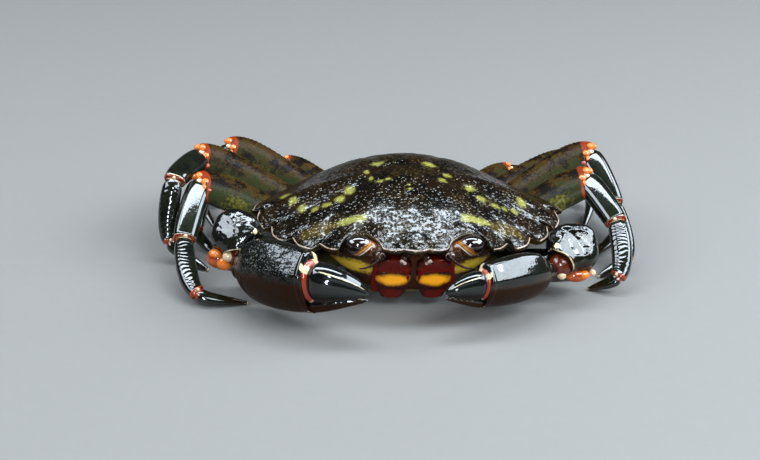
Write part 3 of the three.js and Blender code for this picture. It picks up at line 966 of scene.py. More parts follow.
    def surface(self) -> Surface:
        """The shell: its dome, its underside and their masks.

        The pale line of the rim, a painted highlight along its edge, is wider at the orbits' corners and
        gone within the orbits. Water stands on the front, and the shell dries towards the rear.

        Returns:
            The surface.
        """
        rim, smooth = self.rim(), self.smooth_rim()
        inner, outer = np.linspace(0.015, 0.84, self.inner_rows), np.linspace(0.85, 0.984, self.outer_rows)
        shares = np.concatenate([inner, outer])[:, None]
        dome, lower = self.dome(rim, smooth, shares), self.underside(rim, smooth)

        def both(top: Array, bottom: Array | float) -> Array:
            """A mask of the dome over one of the underside."""
            return np.concatenate([top, np.broadcast_to(bottom, lower.shape[:2])])

        spots, stripe = self.marks(dome)
        brow = hill(rim[:, 0], 0, 9) * ease(-24, -26, rim[:, 1])
        corner = hill(np.hypot(np.abs(rim[:, 0]) - 8.0, rim[:, 1] + 23.4), 0, 2.0)
        orbit = hill(np.abs(rim[:, 0]), 12.4, 3.4) * ease(-19, -21, rim[:, 1])
        # The pale line along the rim and the top of its bead are a painted highlight.
        line = hill(shares, 0.998, 0.005 + 0.004 * brow + 0.012 * corner)
        beads = np.where(np.arange(len(lower)) < 2, 0.66, 0.0)[:, None] * (1 - orbit)
        wash = ease(0.2, 0.9, ripples(dome, 16.0, 5)) * 0.6 + 0.3 * ease(-6, 14, dome[..., 1])
        front = hill(dome[..., 0], 0, 17) * ease(-10, -16, dome[..., 1])
        pools = ease(-0.1, 0.8, ripples(dome * (0.5, 1.6, 1.6), 4.0, 6))
        return closed_surface(
            np.concatenate([dome, lower]),
            spot=both(spots, 0),
            band=both(stripe, 0),
            pale=both((0.6 + 0.3 * corner) * (1 - orbit) * line, beads),
            wash=both(wash, 0.4),
            film=both(0.25 * pools * front + 0.1, 0.8),
            dry=both(0.9 * ease(0.0, 10.0, dome[..., 1]), 0.5),
        )

    def build(self) -> None:
        """Makes the shell."""
        make_piece("shell_carapace", self.surface(), SHELL, "shell", "carapace")


# ---- The trunk and the tail flap ---------------------------------------------------------------
@dataclass(frozen=True)
class Trunk:
    """The body under the shell: the walls beside the mouth, the leg bases' ring and the belly.

    levels give height, half width, front and rear, from within the shell down to the belly.
    """

    levels: tuple = (
        (12.4, 26.2, -22.2, 22.4), (10.2, 22.6, -21.2, 21.4), (7.0, 19.4, -19.6, 19.5),
        (3.2, 16.8, -17.2, 17.0), (0.9, 14.4, -14.6, 15.0), (0.0, 11.8, -12.4, 13.2),
    )
    squareness: float = 0.86
    columns: int = 240
    wall_rows: int = 100
    belly_rows: int = 34
    flap_half_width: float = 4.6
    mouth_frame: float = 0.55
    mouth_depth: float = 0.5
    cheek: float = 0.5
    suture: float = 0.35
    seam: float = 0.35
    seams_at: tuple = (-9.0, -2.5, 4.0, 10.5, 16.0)
    trough: float = 1.05

    def rings(self) -> Array:
        """Squared ovals from level to level, then shares of the last one to the belly's middle.

        Their X and Y are the cosine and sine of an angle, raised to the squareness.

        Returns:
            The rings from the top down, shape (rows, columns, 3).
        """
        turn = turns(self.columns)[None]
        levels = along(self.levels, np.linspace(0, 1, self.wall_rows))
        shares = np.linspace(0.97, 0.04, self.belly_rows)[:, None]
        shift = 0.4 * (1 - shares) * (0, 0, 1, 1)
        z, half, front, rear = np.concatenate([levels, levels[-1] * shares + shift]).T[..., None]
        x = half * signed_power(np.cos(turn), self.squareness)
        y = (front + rear) / 2 + (rear - front) / 2 * signed_power(np.sin(turn), self.squareness)
        return np.stack([x, y, z + 0 * x], -1)

    def surface(self) -> Surface:
        """The walls and the belly.

        The mouth's frame stands out, and the space behind the mouth plates lies deeper. Under the
        belly are the seams between the breast plates and the trough that the tail flap lies in.

        Returns:
            The surface.
        """
        rings = self.rings()
        x, y, low = np.moveaxis(rings, -1, 0).copy()
        side, ahead = np.abs(x), ease(-10.0, -16.0, y)
        frame = self.mouth_frame * hill(side, 9.3, 0.9) * ease(2.0, 5.0, low) * ease(15.0, 12.5, low)
        sunk = self.mouth_depth * ease(8.8, 7.6, side) * ease(1.5, 4.0, low) * ease(13.6, 12.6, low)
        cheek = self.cheek * hill(side, 14.5, 4.0) * hill(low, 9.0, 2.6)
        suture = self.suture * hill(low, 10.6 + 0.06 * side, 0.35) * ease(10.0, 11.5, side)
        rings[..., 1] -= ahead * (frame - sunk + cheek) - suture * ahead
        rings[..., 0] -= np.sign(x) * suture * (1 - ahead)
        seams = self.seam * sum(hill(y + 0.32 * side, at, 0.3) for at in self.seams_at)
        within = ease(0.0, 0.5, self.flap_half_width + 0.14 * (y - 13) - side)
        trough = self.trough * within * ease(-6.6, -5.6, y)
        rings[..., 2] += ease(1.4, 0.4, low) * np.maximum(seams * ease(3.5, 5.0, side), trough)
        patch = 1 - 0.5 * np.hypot((side - 13.4) / 4.6, (low - 9.1) / 1.9)
        return closed_surface(
            rings,
            wash=ease(1.2, 3.2, low) * mix(0.75, 1.0, ahead),
            spot=patch * ahead,
            band=0.9 * ahead * ease(12.0, 10.0, side) * ease(2.0, 4.0, low),
            film=0.8,
            dry=0.7,
        )

    def build(self) -> None:
        """Makes the trunk."""
        make_piece("shell_thorax", self.surface(), BELLY, "belly", "thorax")


@dataclass(frozen=True)
class TailFlap:
    """The narrow tail of a male, folded under the belly: plates that grow shorter to the tip.

    corner is the share of the length that the turn from root to bend takes.
    """

    root: tuple = (0.0, 24.0, 9.6)
    bend: tuple = (0.0, 16.5, 0.6)
    tip: tuple = (0.0, -5.5, 0.4)
    corner: float = 0.34
    half_widths: tuple = (6.4, 8.6, 7.9, 6.4, 4.9, 4.3, 3.8, 2.6, 1.0)
    half_thickness: float = 0.58
    seams: tuple = (0.1, 0.2, 0.31, 0.66, 0.84)
    columns: int = 72
    rows: int = 190

    def surface(self) -> Surface:
        """A flat squared section along a quarter turn and a straight run.

        It is thinned to a seam between each two plates.

        Returns:
            The surface.
        """
        t = np.linspace(0, 1, self.rows)[:, None]
        root, bend, tip = (np.array(p) for p in (self.root, self.bend, self.tip))
        early = np.clip(t / self.corner, 0, 1)
        late = np.clip((t - self.corner) / (1 - self.corner), 0, 1)
        middle = np.array([0.0, root[1] - 0.2, bend[2]])
        centre = root * (1 - early) ** 2 + 2 * middle * early * (1 - early) + bend * early**2
        centre = centre + (tip - bend) * late
        normal = np.cross(unit(np.gradient(centre, axis=0)), np.array([1.0, 0.0, 0.0]))
        turn = turns(self.columns)
        cut = sum(hill(t, seam, 0.007) for seam in self.seams)
        bulge = sum(hill(t, seam + 0.02, 0.014) for seam in self.seams)
        close = np.sqrt(1 - 0.97 * ease(0.975, 1.0, t) ** 2) * mix(0.5, 1, ease(0, 0.02, t))
        wide = along(self.half_widths, t) * (1 - 0.09 * cut) * close
        tall = self.half_thickness * (1 - 0.45 * cut + 0.1 * bulge) * close
        rings = centre[:, None] + normal[:, None] * (tall * signed_power(np.sin(turn), 0.7))[..., None]
        rings[..., 0] += wide * signed_power(np.cos(turn), 0.9)
        return closed_surface(above_floor(rings), pale=0.4 * cut, film=0.6,
                              wash=0.95 * ease(0.36, 0.26, t))

    def build(self) -> None:
        """Makes the tail flap."""
        make_piece("shell_tail_flap", self.surface(), TAIL, "belly", "tail_flap")


# ---- Walking legs ------------------------------------------------------------------------------
@dataclass(frozen=True)
class SegmentShape:
    """One kind of leg segment: half sizes at even stations, how far it bows and how it is made."""

    high: tuple
    thick: tuple
    bow: float = 0.22
    rows: int = 70
    columns: int = 48
    ends: Ends = Ends()
    square: float = 0.72
    film: float = 0.75


SEGMENTS = {
    "merus": SegmentShape((2.3, 2.8, 3.6, 4.2, 4.5, 4.0), (2.1, 2.1, 2.2, 2.3, 2.3, 2.1),
                          bow=0.09, rows=150, columns=72, square=0.86, film=0.4),
    "carpus": SegmentShape((2.7, 2.8, 2.7, 2.4), (1.9, 2.1, 2.1, 1.8), bow=0.1),
    "propodus": SegmentShape((2.0, 2.2, 2.1, 1.7), (1.6, 1.7, 1.6, 1.3), rows=90),
    "dactyl": SegmentShape((1.5, 1.4, 1.1, 0.7, 0.3), (1.2, 1.1, 0.9, 0.65, 0.3),
                           ends=Ends(cup=0.0), square=0.9),
}
LEG_SCALE = {"leg2": 1.0, "leg3": 1.0, "leg4": 0.92, "leg5": 0.8}
# Joints of each leg: hip, base, knee, wrist, ankle and tip.
LEG_JOINTS = {
    Side.RIGHT: {
        "leg2": ((-15, -1.5, 6), (-24, 3, 6.2), (-46.4, 9.6, 15.3),
                 (-50.2, -3.6, 8.2), (-46.8, -18.4, 2.6), (-36, -18.8, 0.3)),
        "leg3": ((-15, 7, 6), (-23.5, 12, 6.8), (-46.9, 21, 17.2),
                 (-52.8, 8.5, 17.2), (-53.6, 2.6, 4.8), (-45, -3, 0.3)),
        "leg4": ((-13, 13.5, 6.5), (-20.5, 19.5, 8.4), (-39.9, 28, 16.2),
                 (-46.2, 20.2, 9.2), (-48, 10.5, 3.4), (-42, 2.6, 0.3)),
        "leg5": ((-10, 16, 7), (-15, 24.8, 8), (-27, 33, 10),
                 (-38, 35, 7.4), (-47, 30, 3.6), (-44, 19, 0.3)),
    },
    Side.LEFT: {
        "leg2": ((15, -1.5, 6), (24, 3, 6.2), (42.4, 10.4, 16.3),
                 (48.2, -1, 11.4), (46.9, -13.4, 3.8), (40.6, -12.6, 0.3)),
        "leg3": ((15, 7, 6), (23.5, 12, 6.8), (44.6, 20, 18.4),
                 (49.2, 8.6, 11.4), (50.4, -3.4, 3.2), (44, -6.5, 0.3)),
        "leg4": ((13, 13.5, 6.5), (20.5, 19.5, 8), (41.6, 27.4, 13.6),
                 (50, 21, 7.6), (51, 10, 3.4), (43.5, 3, 0.3)),
        "leg5": ((10, 16, 7), (15, 24.8, 8), (28, 33, 8.4),
                 (38, 35, 6.4), (47.6, 30, 3.4), (45, 19, 0.3)),
    },
}
# Lumps on a swollen knee: millimetres along the leg, share of its height, radius and mask.
KNEE_LUMPS = ((0.2, 0.55, 0.95, "spot"), (0.9, 0.2, 0.65, "pale"), (-0.3, 0.0, 1.05, "spot"),
              (0.5, -0.32, 0.8, "spot"), (-0.2, -0.66, 0.75, "band"))


@dataclass(frozen=True)
class WalkingLeg:
    """One walking leg: merus, carpus, propodus and dactyl, with soft skin at the joints."""

    leg: str
    side: Side
    gap: float = 0.35
    keel: float = 0.16
    furrow: float = 0.07
    collar: float = 0.16
    fold_spacing: float = 1.1
    fold_height: float = 0.12
    ridge_spacing: float = 0.95
    ridge_height: float = 0.027

    @property
    def scale(self) -> float:
        """The leg's size, as a share of the largest."""
        return LEG_SCALE[self.leg]

    @property
    def joints(self) -> Array:
        """The leg's joints, in millimetres."""
        return np.array(LEG_JOINTS[self.side][self.leg], float)

    def limbs(self) -> dict[str, Limb]:
        """The four segments' tubes. Two that meet share the direction that halves their bend.

        Returns:
            The tubes, by the segments' names.
        """
        hip, _, knee, wrist, ankle, tip = joints = self.joints
        heads = unit(np.diff(joints, axis=0))
        knee_way, wrist_way, ankle_way = unit(heads[1:-1] + heads[2:])
        bends = unit(np.cross(heads[1], heads[2])) + unit(np.cross(heads[3], heads[4]))
        runs = {
            "merus": (hip, knee, heads[0], knee_way),
            "carpus": (knee, wrist, knee_way, wrist_way),
            "propodus": (wrist, ankle, wrist_way, ankle_way),
            "dactyl": (ankle, tip, ankle_way, None),
        }
        made = {}
        for part, (start, end, leave, arrive) in runs.items():
            shape = SEGMENTS[part]
            high, thick = np.array(shape.high) * self.scale, np.array(shape.thick) * self.scale
            start = start if part == "merus" else start + leave * self.gap / 2
            end = end if arrive is None else end - arrive * self.gap / 2
            made[part] = Limb(start, end, unit(bends), high, thick, leave, arrive, shape.bow)
        return made

    def swell(self, part: str, t: Array, turn: Array, length: float) -> Array:
        """How far a segment stands out from its tube, in millimetres of the largest leg.

        Keels run along its upper and lower edge, a furrow along each flank, and a collar flares at
        its far end. The merus has seams near its base and low folds on its upper edge, and the
        propodus has low cross ridges.

        Args:
            part: The segment's name.
            t: Places along it, shape (rows, 1).
            turn: Angles round its section, shape (columns,).
            length: Its length.

        Returns:
            Millimetres outwards, shape (rows, columns).
        """
        up, flank, place = np.sin(turn), np.abs(np.cos(turn)), t * length
        tall = np.abs(up)
        body = ease(0.02, 0.18, t) * ease(1.0, 0.9, t)
        swell = body * self.keel * tall**14
        if part != "carpus":
            swell = swell - body * self.furrow * hill(tall, 0.3, 0.3)
        if part == "propodus":
            shaken = place + 0.3 * np.sin(3 * turn + 0.8 * place)
            waves = np.sin(math.tau * shaken / self.ridge_spacing)
            swell = swell + self.ridge_height * body * waves * flank
        if part == "merus":
            folds = self.fold_height * bumps(place / self.fold_spacing) * hill(up, 1.0, 0.12)
            swell = swell + body * (self.keel * tall**20 + folds)
            swell = swell - 0.5 * hill(t, 0.27, 0.02) - 0.25 * hill(t, 0.14, 0.015)
        return swell + self.collar * hill(t, 0.97, 0.035) * (0.6 + 0.4 * flank)

    def paint(self, part: str, t: Array, turn: Array) -> dict[str, Array]:
        """A segment's masks.

        Args:
            part: The segment's name.
            t: Places along it, shape (rows, 1).
            turn: Angles round its section, shape (columns,).

        Returns:
            The masks, by name.
        """
        up = np.sin(turn)
        keel = np.abs(up)
        body = ease(0.02, 0.18, t) * ease(1.0, 0.9, t)
        slant = t - 0.055 * up + 0.012 * np.sin(3 * turn + 1.3 * self.scale)
        if part == "merus":
            return {
                "band": 0.95 * hill(slant, 0.94, 0.035) + 0.95 * ease(0.97, 0.99, slant) * (up > 0),
                # The thin pale line along the top keel is a painted highlight.
                "pale": 0.62 * body * hill(up, 1.0, 0.008) * ease(0.25, 0.5, t),
                "wash": mix(0.35, 0.6, ease(0.6, -0.6, up)),
                "spot": 0.47 * hill(t, 0.66, 0.2) * ease(0.3, -0.5, up),
                "dry": 0.97 * (1 - hill(keel, 1.0, 0.02)),
            }
        if part == "carpus":
            return {"band": 0.95 * ease(0.07, 0.02, t) + 0.9 * ease(0.975, 1.0, t),
                    "pale": 0.75 * hill(t, 0.975, 0.01)}
        if part == "propodus":
            return {"band": 0.95 * ease(0.93, 0.98, t), "pale": 0.8 * hill(t, 0.012, 0.012),
                    "spot": 0.35 * hill(keel, 1.0, 0.06)}
        return {"band": 0.9 * ease(0.1, 0.03, t), "pale": 0.9 * ease(0.95, 1.0, t),
                "wash": 0.9 * ease(0.3, 0.8, t)}

    def segment(self, part: str, limb: Limb) -> Surface:
        """One segment: its tube, swollen and painted.

        Args:
            part: The segment's name.
            limb: Its tube.

        Returns:
            The surface.
        """
        shape = SEGMENTS[part]
        t, share = shape.ends.profile(limb.length, shape.rows)
        turn = turns(shape.columns)
        swell = self.swell(part, t[:, None], turn, limb.length) * self.scale
        rings = above_floor(limb.rings(t, share, turn, swell, shape.square))
        return closed_surface(rings, film=shape.film, **self.paint(part, t[:, None], turn))

    def knee_skin(self, limb: Limb) -> list[Surface]:
        """The knee's swollen skin, with orange and cream lumps on both flanks and its crest.

        Args:
            limb: The tube that ends at the knee.

        Returns:
            The surfaces.
        """
        centre, run, across, height = limb.at(1.0)
        wide, tall = limb.thick[-1], limb.high[-1]
        made = [self.skin_ball(limb, 1.15, 0.93, 0.93)]
        for sign in (-1, 1):
            for forth, rise, radius, tone in KNEE_LUMPS:
                place = centre + across * sign * wide * 0.66 + run * forth * self.scale
                lump = ball(place + height * tall * rise, np.full(3, radius * self.scale),
                            **{tone: 0.95})
                made.append(lump)
        crest = centre + height * tall * 0.82 + run * 0.5 * self.scale
        return made + [ball(crest, np.array([1.0, 0.9, 0.7]) * self.scale, spot=0.95)]

    def skin_ball(self, limb: Limb, depth: float, wide: float, tall: float) -> Surface:
        """A flattened ball of soft skin in a segment's far end, redder below.

        Args:
            limb: The segment's tube.
            depth: Half its depth, in millimetres of the largest leg.
            wide: Its thickness, as a share of the segment's.
            tall: Its height, as a share of the segment's.

        Returns:
            The surface.
        """
        half = (depth * self.scale, wide * limb.thick[-1], tall * limb.high[-1])
        rings = limb.plug(1.0, half, 12, 32)
        return closed_surface(rings, band=0.5 - 0.6 * np.sin(turns(rings.shape[1])))

    def joint_skin(self, limbs: dict[str, Limb]) -> Surface:
        """Soft skin in the three joints. The two lower ones have a cream boss on each flank.

        Args:
            limbs: The four segments' tubes.

        Returns:
            The surface.
        """
        made = self.knee_skin(limbs["merus"])
        for limb in (limbs["carpus"], limbs["propodus"]):
            made.append(self.skin_ball(limb, 0.6, 0.84, 0.86))
            centre, _, across, _ = limb.at(1.0)
            for sign in (-1, 1):
                boss = centre + across * sign * limb.thick[-1] * 0.8
                made.append(ball(boss, np.full(3, 0.5 * self.scale), pale=0.95))
        return joined(made)

    def build(self) -> None:
        """Makes the leg's pieces."""
        limbs = self.limbs()
        for part, limb in limbs.items():
            node = f"{self.leg}_{self.side.word}_{part}"
            finish = THIGH if part == "merus" else SHIN
            make_piece(f"shell_{node}", self.segment(part, limb), finish, "leg", node)
        skin = self.joint_skin(limbs)
        make_piece(f"skin_{self.leg}_{self.side.word}_joints", skin, JOINT, "leg")


# ---- Claws -------------------------------------------------------------------------------------
def blunted(t: Array) -> Array:
    """The section's share near a finger's tip: a quarter circle over the last tenth."""
    return np.sqrt(1 - 0.9 * ease(0.9, 1.0, t))


def rounded_start(length: float, body: Array, neck: float, widened: float) -> tuple[Array, Array]:
    """Places and section shares of a tube that starts with a quarter of an ellipse.

    Args:
        length: The tube's length.
        body: Places along the rest of it.
        neck: The section's share where the ellipse ends.
        widened: The place by which the full section is reached.

    Returns:
        Places along the tube, and the share at each.
    """
    quarter = np.linspace(0.08, 1, 8)[:-1] * math.pi / 2
    t = np.concatenate([-0.9 * np.cos(quarter) / length, body])
    return t, np.concatenate([neck * np.sin(quarter), mix(neck, 1, ease(0, widened, body))])


@dataclass(frozen=True)
class Claw:
    """One claw: arm, carpus, palm with its fixed thumb, and the movable finger.

    The arm is given by its two ends, and carpus_face, carpus_share tell which way the carpus's
    planed face looks and how far out it lies. lumps are soft ones at the elbow: centre, half sizes
    and mask. Between the waterline's two heights round the palm's section, the film of water thins
    out. grain is how bare the palm's granules are, and crease how deep the carpus is creased.
    Tilts are in degrees, and half sizes of sections are for a claw of size 1.
    """

    side: Side
    arm: tuple
    carpus: tuple
    carpus_half: tuple
    neck: tuple
    knuckle: tuple
    finger_tip: tuple
    thumb_tip: tuple
    size: float
    lumps: tuple
    carpus_face: tuple
    carpus_share: float
    waterline: tuple[float, float] = (0.5, 0.1)
    grain: float = 1.0
    crease: float = 0.0
    tilt: float = 12.0
    face_tilt: float = 50.0
    arm_high: tuple = (3.2, 3.8, 4.2, 3.6)
    arm_thick: tuple = (2.8, 3.4, 3.6, 3.2)
    palm_high: tuple = (3.6, 7.0, 8.0, 7.6, 6.7)
    palm_thick: tuple = (3.0, 4.8, 5.4, 5.2, 4.4)
    thumb_high: tuple = (2.408, 2.15, 1.72, 1.118, 0.43)
    thumb_thick: tuple = (3.2, 2.8, 2.2, 1.4, 0.5)
    finger_high: tuple = (4.6, 4.5, 3.7, 2.4, 0.5)
    finger_thick: tuple = (3.7, 3.4, 2.7, 1.8, 0.5)
    palm_columns: int = 88
    palm_rows: int = 110
    step_rows: int = 10
    thumb_rows: int = 76
    finger_columns: int = 64
    finger_rows: int = 96
    teeth: float = 6.5
    thumb_tooth: float = 0.45
    finger_tooth: float = 0.4

    @property
    def upright(self) -> Array:
        """The direction of the palm's height: up, leaning forwards by the tilt."""
        lean = math.radians(self.tilt)
        return np.array([0.0, -math.sin(lean), math.cos(lean)])

    @property
    def axis(self) -> Array:
        """The direction from the palm's neck to its knuckle."""
        return unit(np.array(self.knuckle) - np.array(self.neck))

    @property
    def flank(self) -> Array:
        """The direction of the palm's thickness."""
        return unit(np.cross(self.upright, self.axis))

    def tube(self, start: Array, high: tuple, thick: tuple, tip: tuple, hook: float | None) -> Limb:
        """A tube in the claw's own plane.

        Args:
            start: Where it starts.
            high: Half heights at even stations.
            thick: Half thicknesses there.
            tip: Where it ends.
            hook: How far upwards it turns as it comes to its tip. None is for a straight tube.

        Returns:
            The tube.
        """
        end = np.array(tip)
        ways = (None, None)
        if hook is not None:
            ways = (self.axis, unit(unit(end - np.array(self.knuckle)) + self.upright * hook))
        half_sizes = (np.array(high) * self.size, np.array(thick) * self.size)
        return Limb(start, end, self.flank, *half_sizes, *ways)

    def beyond_knuckle(self, up: float, forth: float) -> Array:
        """A point near the knuckle, moved up and forth in millimetres of a claw of size 1."""
        return np.array(self.knuckle) + self.upright * up * self.size + self.axis * forth * self.size

    def round_section(self, columns: int) -> tuple[Array, Array, Array]:
        """Angles round a section, and how far up and how far to the front each one points."""
        turn = turns(columns)
        return turn, np.sin(turn), self.side.value * np.cos(turn)

    def palm_rings(self, limb: Limb, t: Array, share: Array) -> Array:
        """The palm's rings.

        It is fuller below and towards the knuckle and pinched behind the neck, has a low ridge
        along its upper front, and is planed on its upper front face.

        Args:
            limb: The palm's tube.
            t: Places along it.
            share: The section's share at each.

        Returns:
            The rings, shape (rows, columns, 3).
        """
        turn, up, front = self.round_section(self.palm_columns)
        place = t[:, None]
        lower = hill(up, -1.0, 0.5)
        body = ease(0.1, 0.3, place) * ease(0.96, 0.8, place)
        ridge = hill(up, 0.8, 0.05) * ease(0.0, 0.2, front) * body
        swell = 0.5 * ease(0.5, 1.0, place) * lower + 0.2 * hill(place, 0.98, 0.02) * (1 - lower)
        swell = (swell - 0.4 * hill(place, 0.07, 0.035) + 0.16 * ridge) * self.size
        rings = limb.rings(t, share, turn, swell, square=0.93)
        lean = math.radians(self.face_tilt)
        face = unit(self.flank * self.side.value * math.cos(lean) + self.upright * math.sin(lean))
        return planed(rings, limb.spine(t)[0][:, None], face, 0.86)

    def thumb_rings(self, s: Array) -> Array:
        """The thumb's rings, with blunt teeth on top and a furrow along its sides.

        Args:
            s: Places along it.

        Returns:
            The rings, shape (rows, columns, 3).
        """
        turn, up, _ = self.round_section(self.palm_columns)
        root = self.beyond_knuckle(-5.4, -1.0)
        limb = self.tube(root, self.thumb_high, self.thumb_thick, self.thumb_tip, 0.3)
        place = s[:, None]
        teeth = bumps(self.teeth * place) * ease(0.98, 0.8, place) * ease(0.05, 0.2, place)
        furrow = hill(up, -0.1, 0.2) * ease(0.1, 0.3, place) * ease(0.98, 0.7, place)
        swell = self.size * (self.thumb_tooth * teeth * hill(up, 1.0, 0.35) - 0.2 * furrow)
        return limb.rings(s, blunted(s), turn, swell, square=0.95)

    def palm(self) -> Surface:
        """The palm and thumb as one surface.

        The palm's rings run from a rounded neck to the knuckle. There the upper half falls back in
        a short step, and the rings go on along the thumb to its tip.

        Returns:
            The surface.
        """
        limb = self.tube(np.array(self.neck), self.palm_high, self.palm_thick, self.knuckle, None)
        t, share = rounded_start(limb.length, np.linspace(0, 1, self.palm_rows), 0.8, 0.1)
        s = np.linspace(0.1, 1, self.thumb_rows)
        palm, thumb = self.palm_rings(limb, t, share), self.thumb_rings(s)
        step = np.linspace(0, 1, self.step_rows + 2)[1:-1, None, None]
        bulge = self.axis * 0.9 * self.size * np.sin(math.pi * step)
        between = mix(palm[-1], thumb[0], ease(0, 1, step)) + bulge
        rings = above_floor(np.concatenate([palm, between, thumb]))
        _, up, front = self.round_section(self.palm_columns)
        whole = np.concatenate([t, np.ones(len(step)), 1 + s])[:, None]
        cutting = ease(1.12, 1.25, whole) * ease(2.0, 1.9, whole) * hill(up, 0.8, 0.12)
        grained = ease(0.12, 0.3, whole) * ease(0.99, 0.85, whole)
        grained = grained * ease(0.0, 0.4, up) * ease(-0.3, 0.1, front)
        lip = hill(whole, 0.998, 0.007) * hill(np.abs(up), 0.82, 0.12)
        return closed_surface(rings, pale=0.8 * lip + 0.64 * cutting, wash=0.95 * ease(0.6, 0.0, up),
                              film=1 - self.grain * grained, dry=0.95 * ease(*self.waterline, up))

    @property
    def finger_limb(self) -> Limb:
        """The movable finger's tube."""
        root = self.beyond_knuckle(0.2, 0.8)
        return self.tube(root, self.finger_high, self.finger_thick, self.finger_tip, -0.25)

    def finger(self) -> Surface:
        """The movable finger: a curved tube.

        It has two long furrows, a light ridge along its top and blunt teeth along its lower edge.

        Returns:
            The surface.
        """
        limb = self.finger_limb
        turn, up, front = self.round_section(self.finger_columns)
        t, share = rounded_start(limb.length, np.linspace(0, 1, self.finger_rows), 0.84, 0.12)
        place = t[:, None]
        within = ease(0.08, 0.25, place) * ease(0.98, 0.8, place)
        furrows = hill(up, 0.66, 0.1) + hill(up, 0.1, 0.14)
        teeth = self.finger_tooth * bumps(self.teeth * place + 0.5) * hill(up, -1.0, 0.35)
        swell = within * self.size * (teeth - 0.24 * furrows + 0.1 * hill(up, 0.86, 0.06))
        lines = (hill(up, 0.87, 0.035) + 0.9 * hill(up, -0.84, 0.07)) * ease(0.0, 0.2, front)
        collar = hill(place, 0.0, 0.012) * ease(0.4, 0.7, np.abs(up))
        return closed_surface(
            limb.rings(t, share * blunted(t), turn, swell, square=0.94),
            pale=0.85 * within * lines + 0.9 * collar,
            wash=0.8 * ease(0.2, -0.5, up),
            spot=0.5 * within * hill(up, 0.4, 0.2),
            film=0.9,
            dry=0.85 * ease(0.1, -0.3, up),
        )

    def finger_skin(self) -> Surface:
        """The soft skin between palm and finger: a thick disc, cream at both ends.

        Returns:
            The surface.
        """
        limb = self.finger_limb
        half = (1.2 * self.size, limb.thick[0] * 1.04, limb.high[0] * 1.08)
        disc = limb.plug(0.0, half, 18, 48, power=0.5) - self.axis * 0.45 * self.size
        ends = hill(np.abs(np.sin(turns(48))), 0.84, 0.13)
        return closed_surface(disc, pale=ends, band=0.9 * (1 - ends))

    def carpus_surface(self) -> Surface:
        """The carpus: a squared block with an inner spine.

        Towards the palm and the arm it has a raised rim round a hollow, and its upper face is
        planed a little flatter. Its spine's tip is pale, and a pale ring round the rim towards the palm
        is a painted highlight.

        Returns:
            The surface.
        """
        centre, half = np.array(self.carpus), np.array(self.carpus_half)
        face = unit(self.carpus_face)
        level = unit(np.cross(face, UP))
        axes = np.stack([level, np.cross(level, face), face])
        squared = signed_power(globe(90, 128), np.array([0.76, 0.76, 0.52]))
        shape = (squared * (0.97, 0.97, 0.8)) @ axes * half
        way = unit(shape)
        to_palm = way @ unit(np.array(self.neck) - centre)
        to_arm = way @ unit(np.array(self.arm[1]) - centre)
        spine = np.clip(way @ unit((-self.side.value * 0.6, -0.66, 0.45)), 0, 1)
        reach = 1 + 0.26 * spine**40 + 0.06 * spine**6
        reach += 0.06 * hill(to_palm, 0.79, 0.06) - 0.24 * ease(0.83, 0.92, to_palm)
        reach += 0.04 * hill(to_arm, 0.82, 0.06) - 0.2 * ease(0.86, 0.94, to_arm)
        shape = planed(shape * reach[..., None], np.zeros(3), face, self.carpus_share, 0.2)
        forth, rise = shape @ axes[0], shape @ axes[1]
        crease = hill(0.44 * rise - forth + 0.08 * rise**2, 0.3, 0.8) * ease(0.0, 0.5, way @ face)
        shape -= self.crease * crease[..., None] * face
        shape += way * (0.1 * ripples(shape, 6.0, 21) + 0.03 * ripples(shape, 1.6, 22))[..., None]
        hollow = np.maximum(ease(0.83, 0.88, to_palm), ease(0.86, 0.9, to_arm))
        below = way[..., 2]
        clouds = 0.8 * ease(0.0, -0.6, below) + 0.3 * ease(0.2, 0.9, ripples(shape, 4.0, 23))
        # The spine's tip is pale; the pale ring just outside the hollow towards the palm is a painted
        # highlight.
        edges = np.maximum(0.9 * spine**150, 0.62 * hill(to_palm, 0.8, 0.03))
        return closed_surface(
            shape + centre,
            wash=np.maximum(0.95 * hollow, clouds),
            pale=edges * (1 - hollow),
            dry=0.9 * np.maximum(hollow, ease(-0.1, -0.5, below)),
            film=0.95 - 0.3 * ease(0.6, 1.4, ripples(shape, 3.0, 24)),
        )

    def arm_surface(self) -> Surface:
        """The arm: a tube with a keel along its front edge.

        Returns:
            The surface.
        """
        start, end = (np.array(p, float) for p in self.arm)
        limb = Limb(start, end, UP, self.arm_high, self.arm_thick)
        t, share = Ends(neck=0.9, knuckle=0.4, cup=0.8).profile(limb.length, 90)
        turn, place = turns(56), t[:, None]
        keel = 0.3 * hill(np.abs(np.sin(turn)), 1.0, 0.1)
        keel = keel * ease(0.1, 0.4, place) * ease(1.0, 0.85, place)
        patch = 1 - 0.5 * np.hypot((place - 0.14) / 0.16, (np.cos(turn) - 0.62) / 0.3)
        return closed_surface(limb.rings(t, share, turn, keel, square=0.94), spot=patch, film=0.8,
                              wash=0.9 * ease(0.1, -0.6, np.cos(turn)),
                              band=0.9 * ease(0.9, 0.97, place))

    def elbow_skin(self) -> Surface:
        """The soft skin between arm, carpus and palm: swollen folds and cream bosses.

        Returns:
            The surface.
        """
        half = np.array(self.carpus_half)
        low = np.array(self.carpus) - UP * half[2] * 0.45
        folds = [ball(mix(low, np.array(self.neck), 0.5), half * 0.5, wash=0.95),
                 ball(mix(np.array(self.arm[1]), low, 0.4), half * (0.6, 0.6, 0.5), wash=0.95)]
        return joined(folds + [ball(at, sizes, **{tone: 0.95}) for at, sizes, tone in self.lumps])

    def build(self) -> None:
        """Makes the claw's pieces."""
        name = f"claw_{self.side.word}"
        for part, surface, finish in (
            ("arm", self.arm_surface(), CLAW), ("carpus", self.carpus_surface(), CLAW),
            ("palm", self.palm(), CLAW), ("finger", self.finger(), FINGER),
        ):
            slot = "finger" if part == "finger" else "claw"
            make_piece(f"shell_{name}_{part}", surface, finish, slot, f"{name}_{part}")
        make_piece(f"skin_{name}_finger", self.finger_skin(), JOINT, "claw")
        make_piece(f"skin_{name}_elbow", self.elbow_skin(), JOINT, "claw")


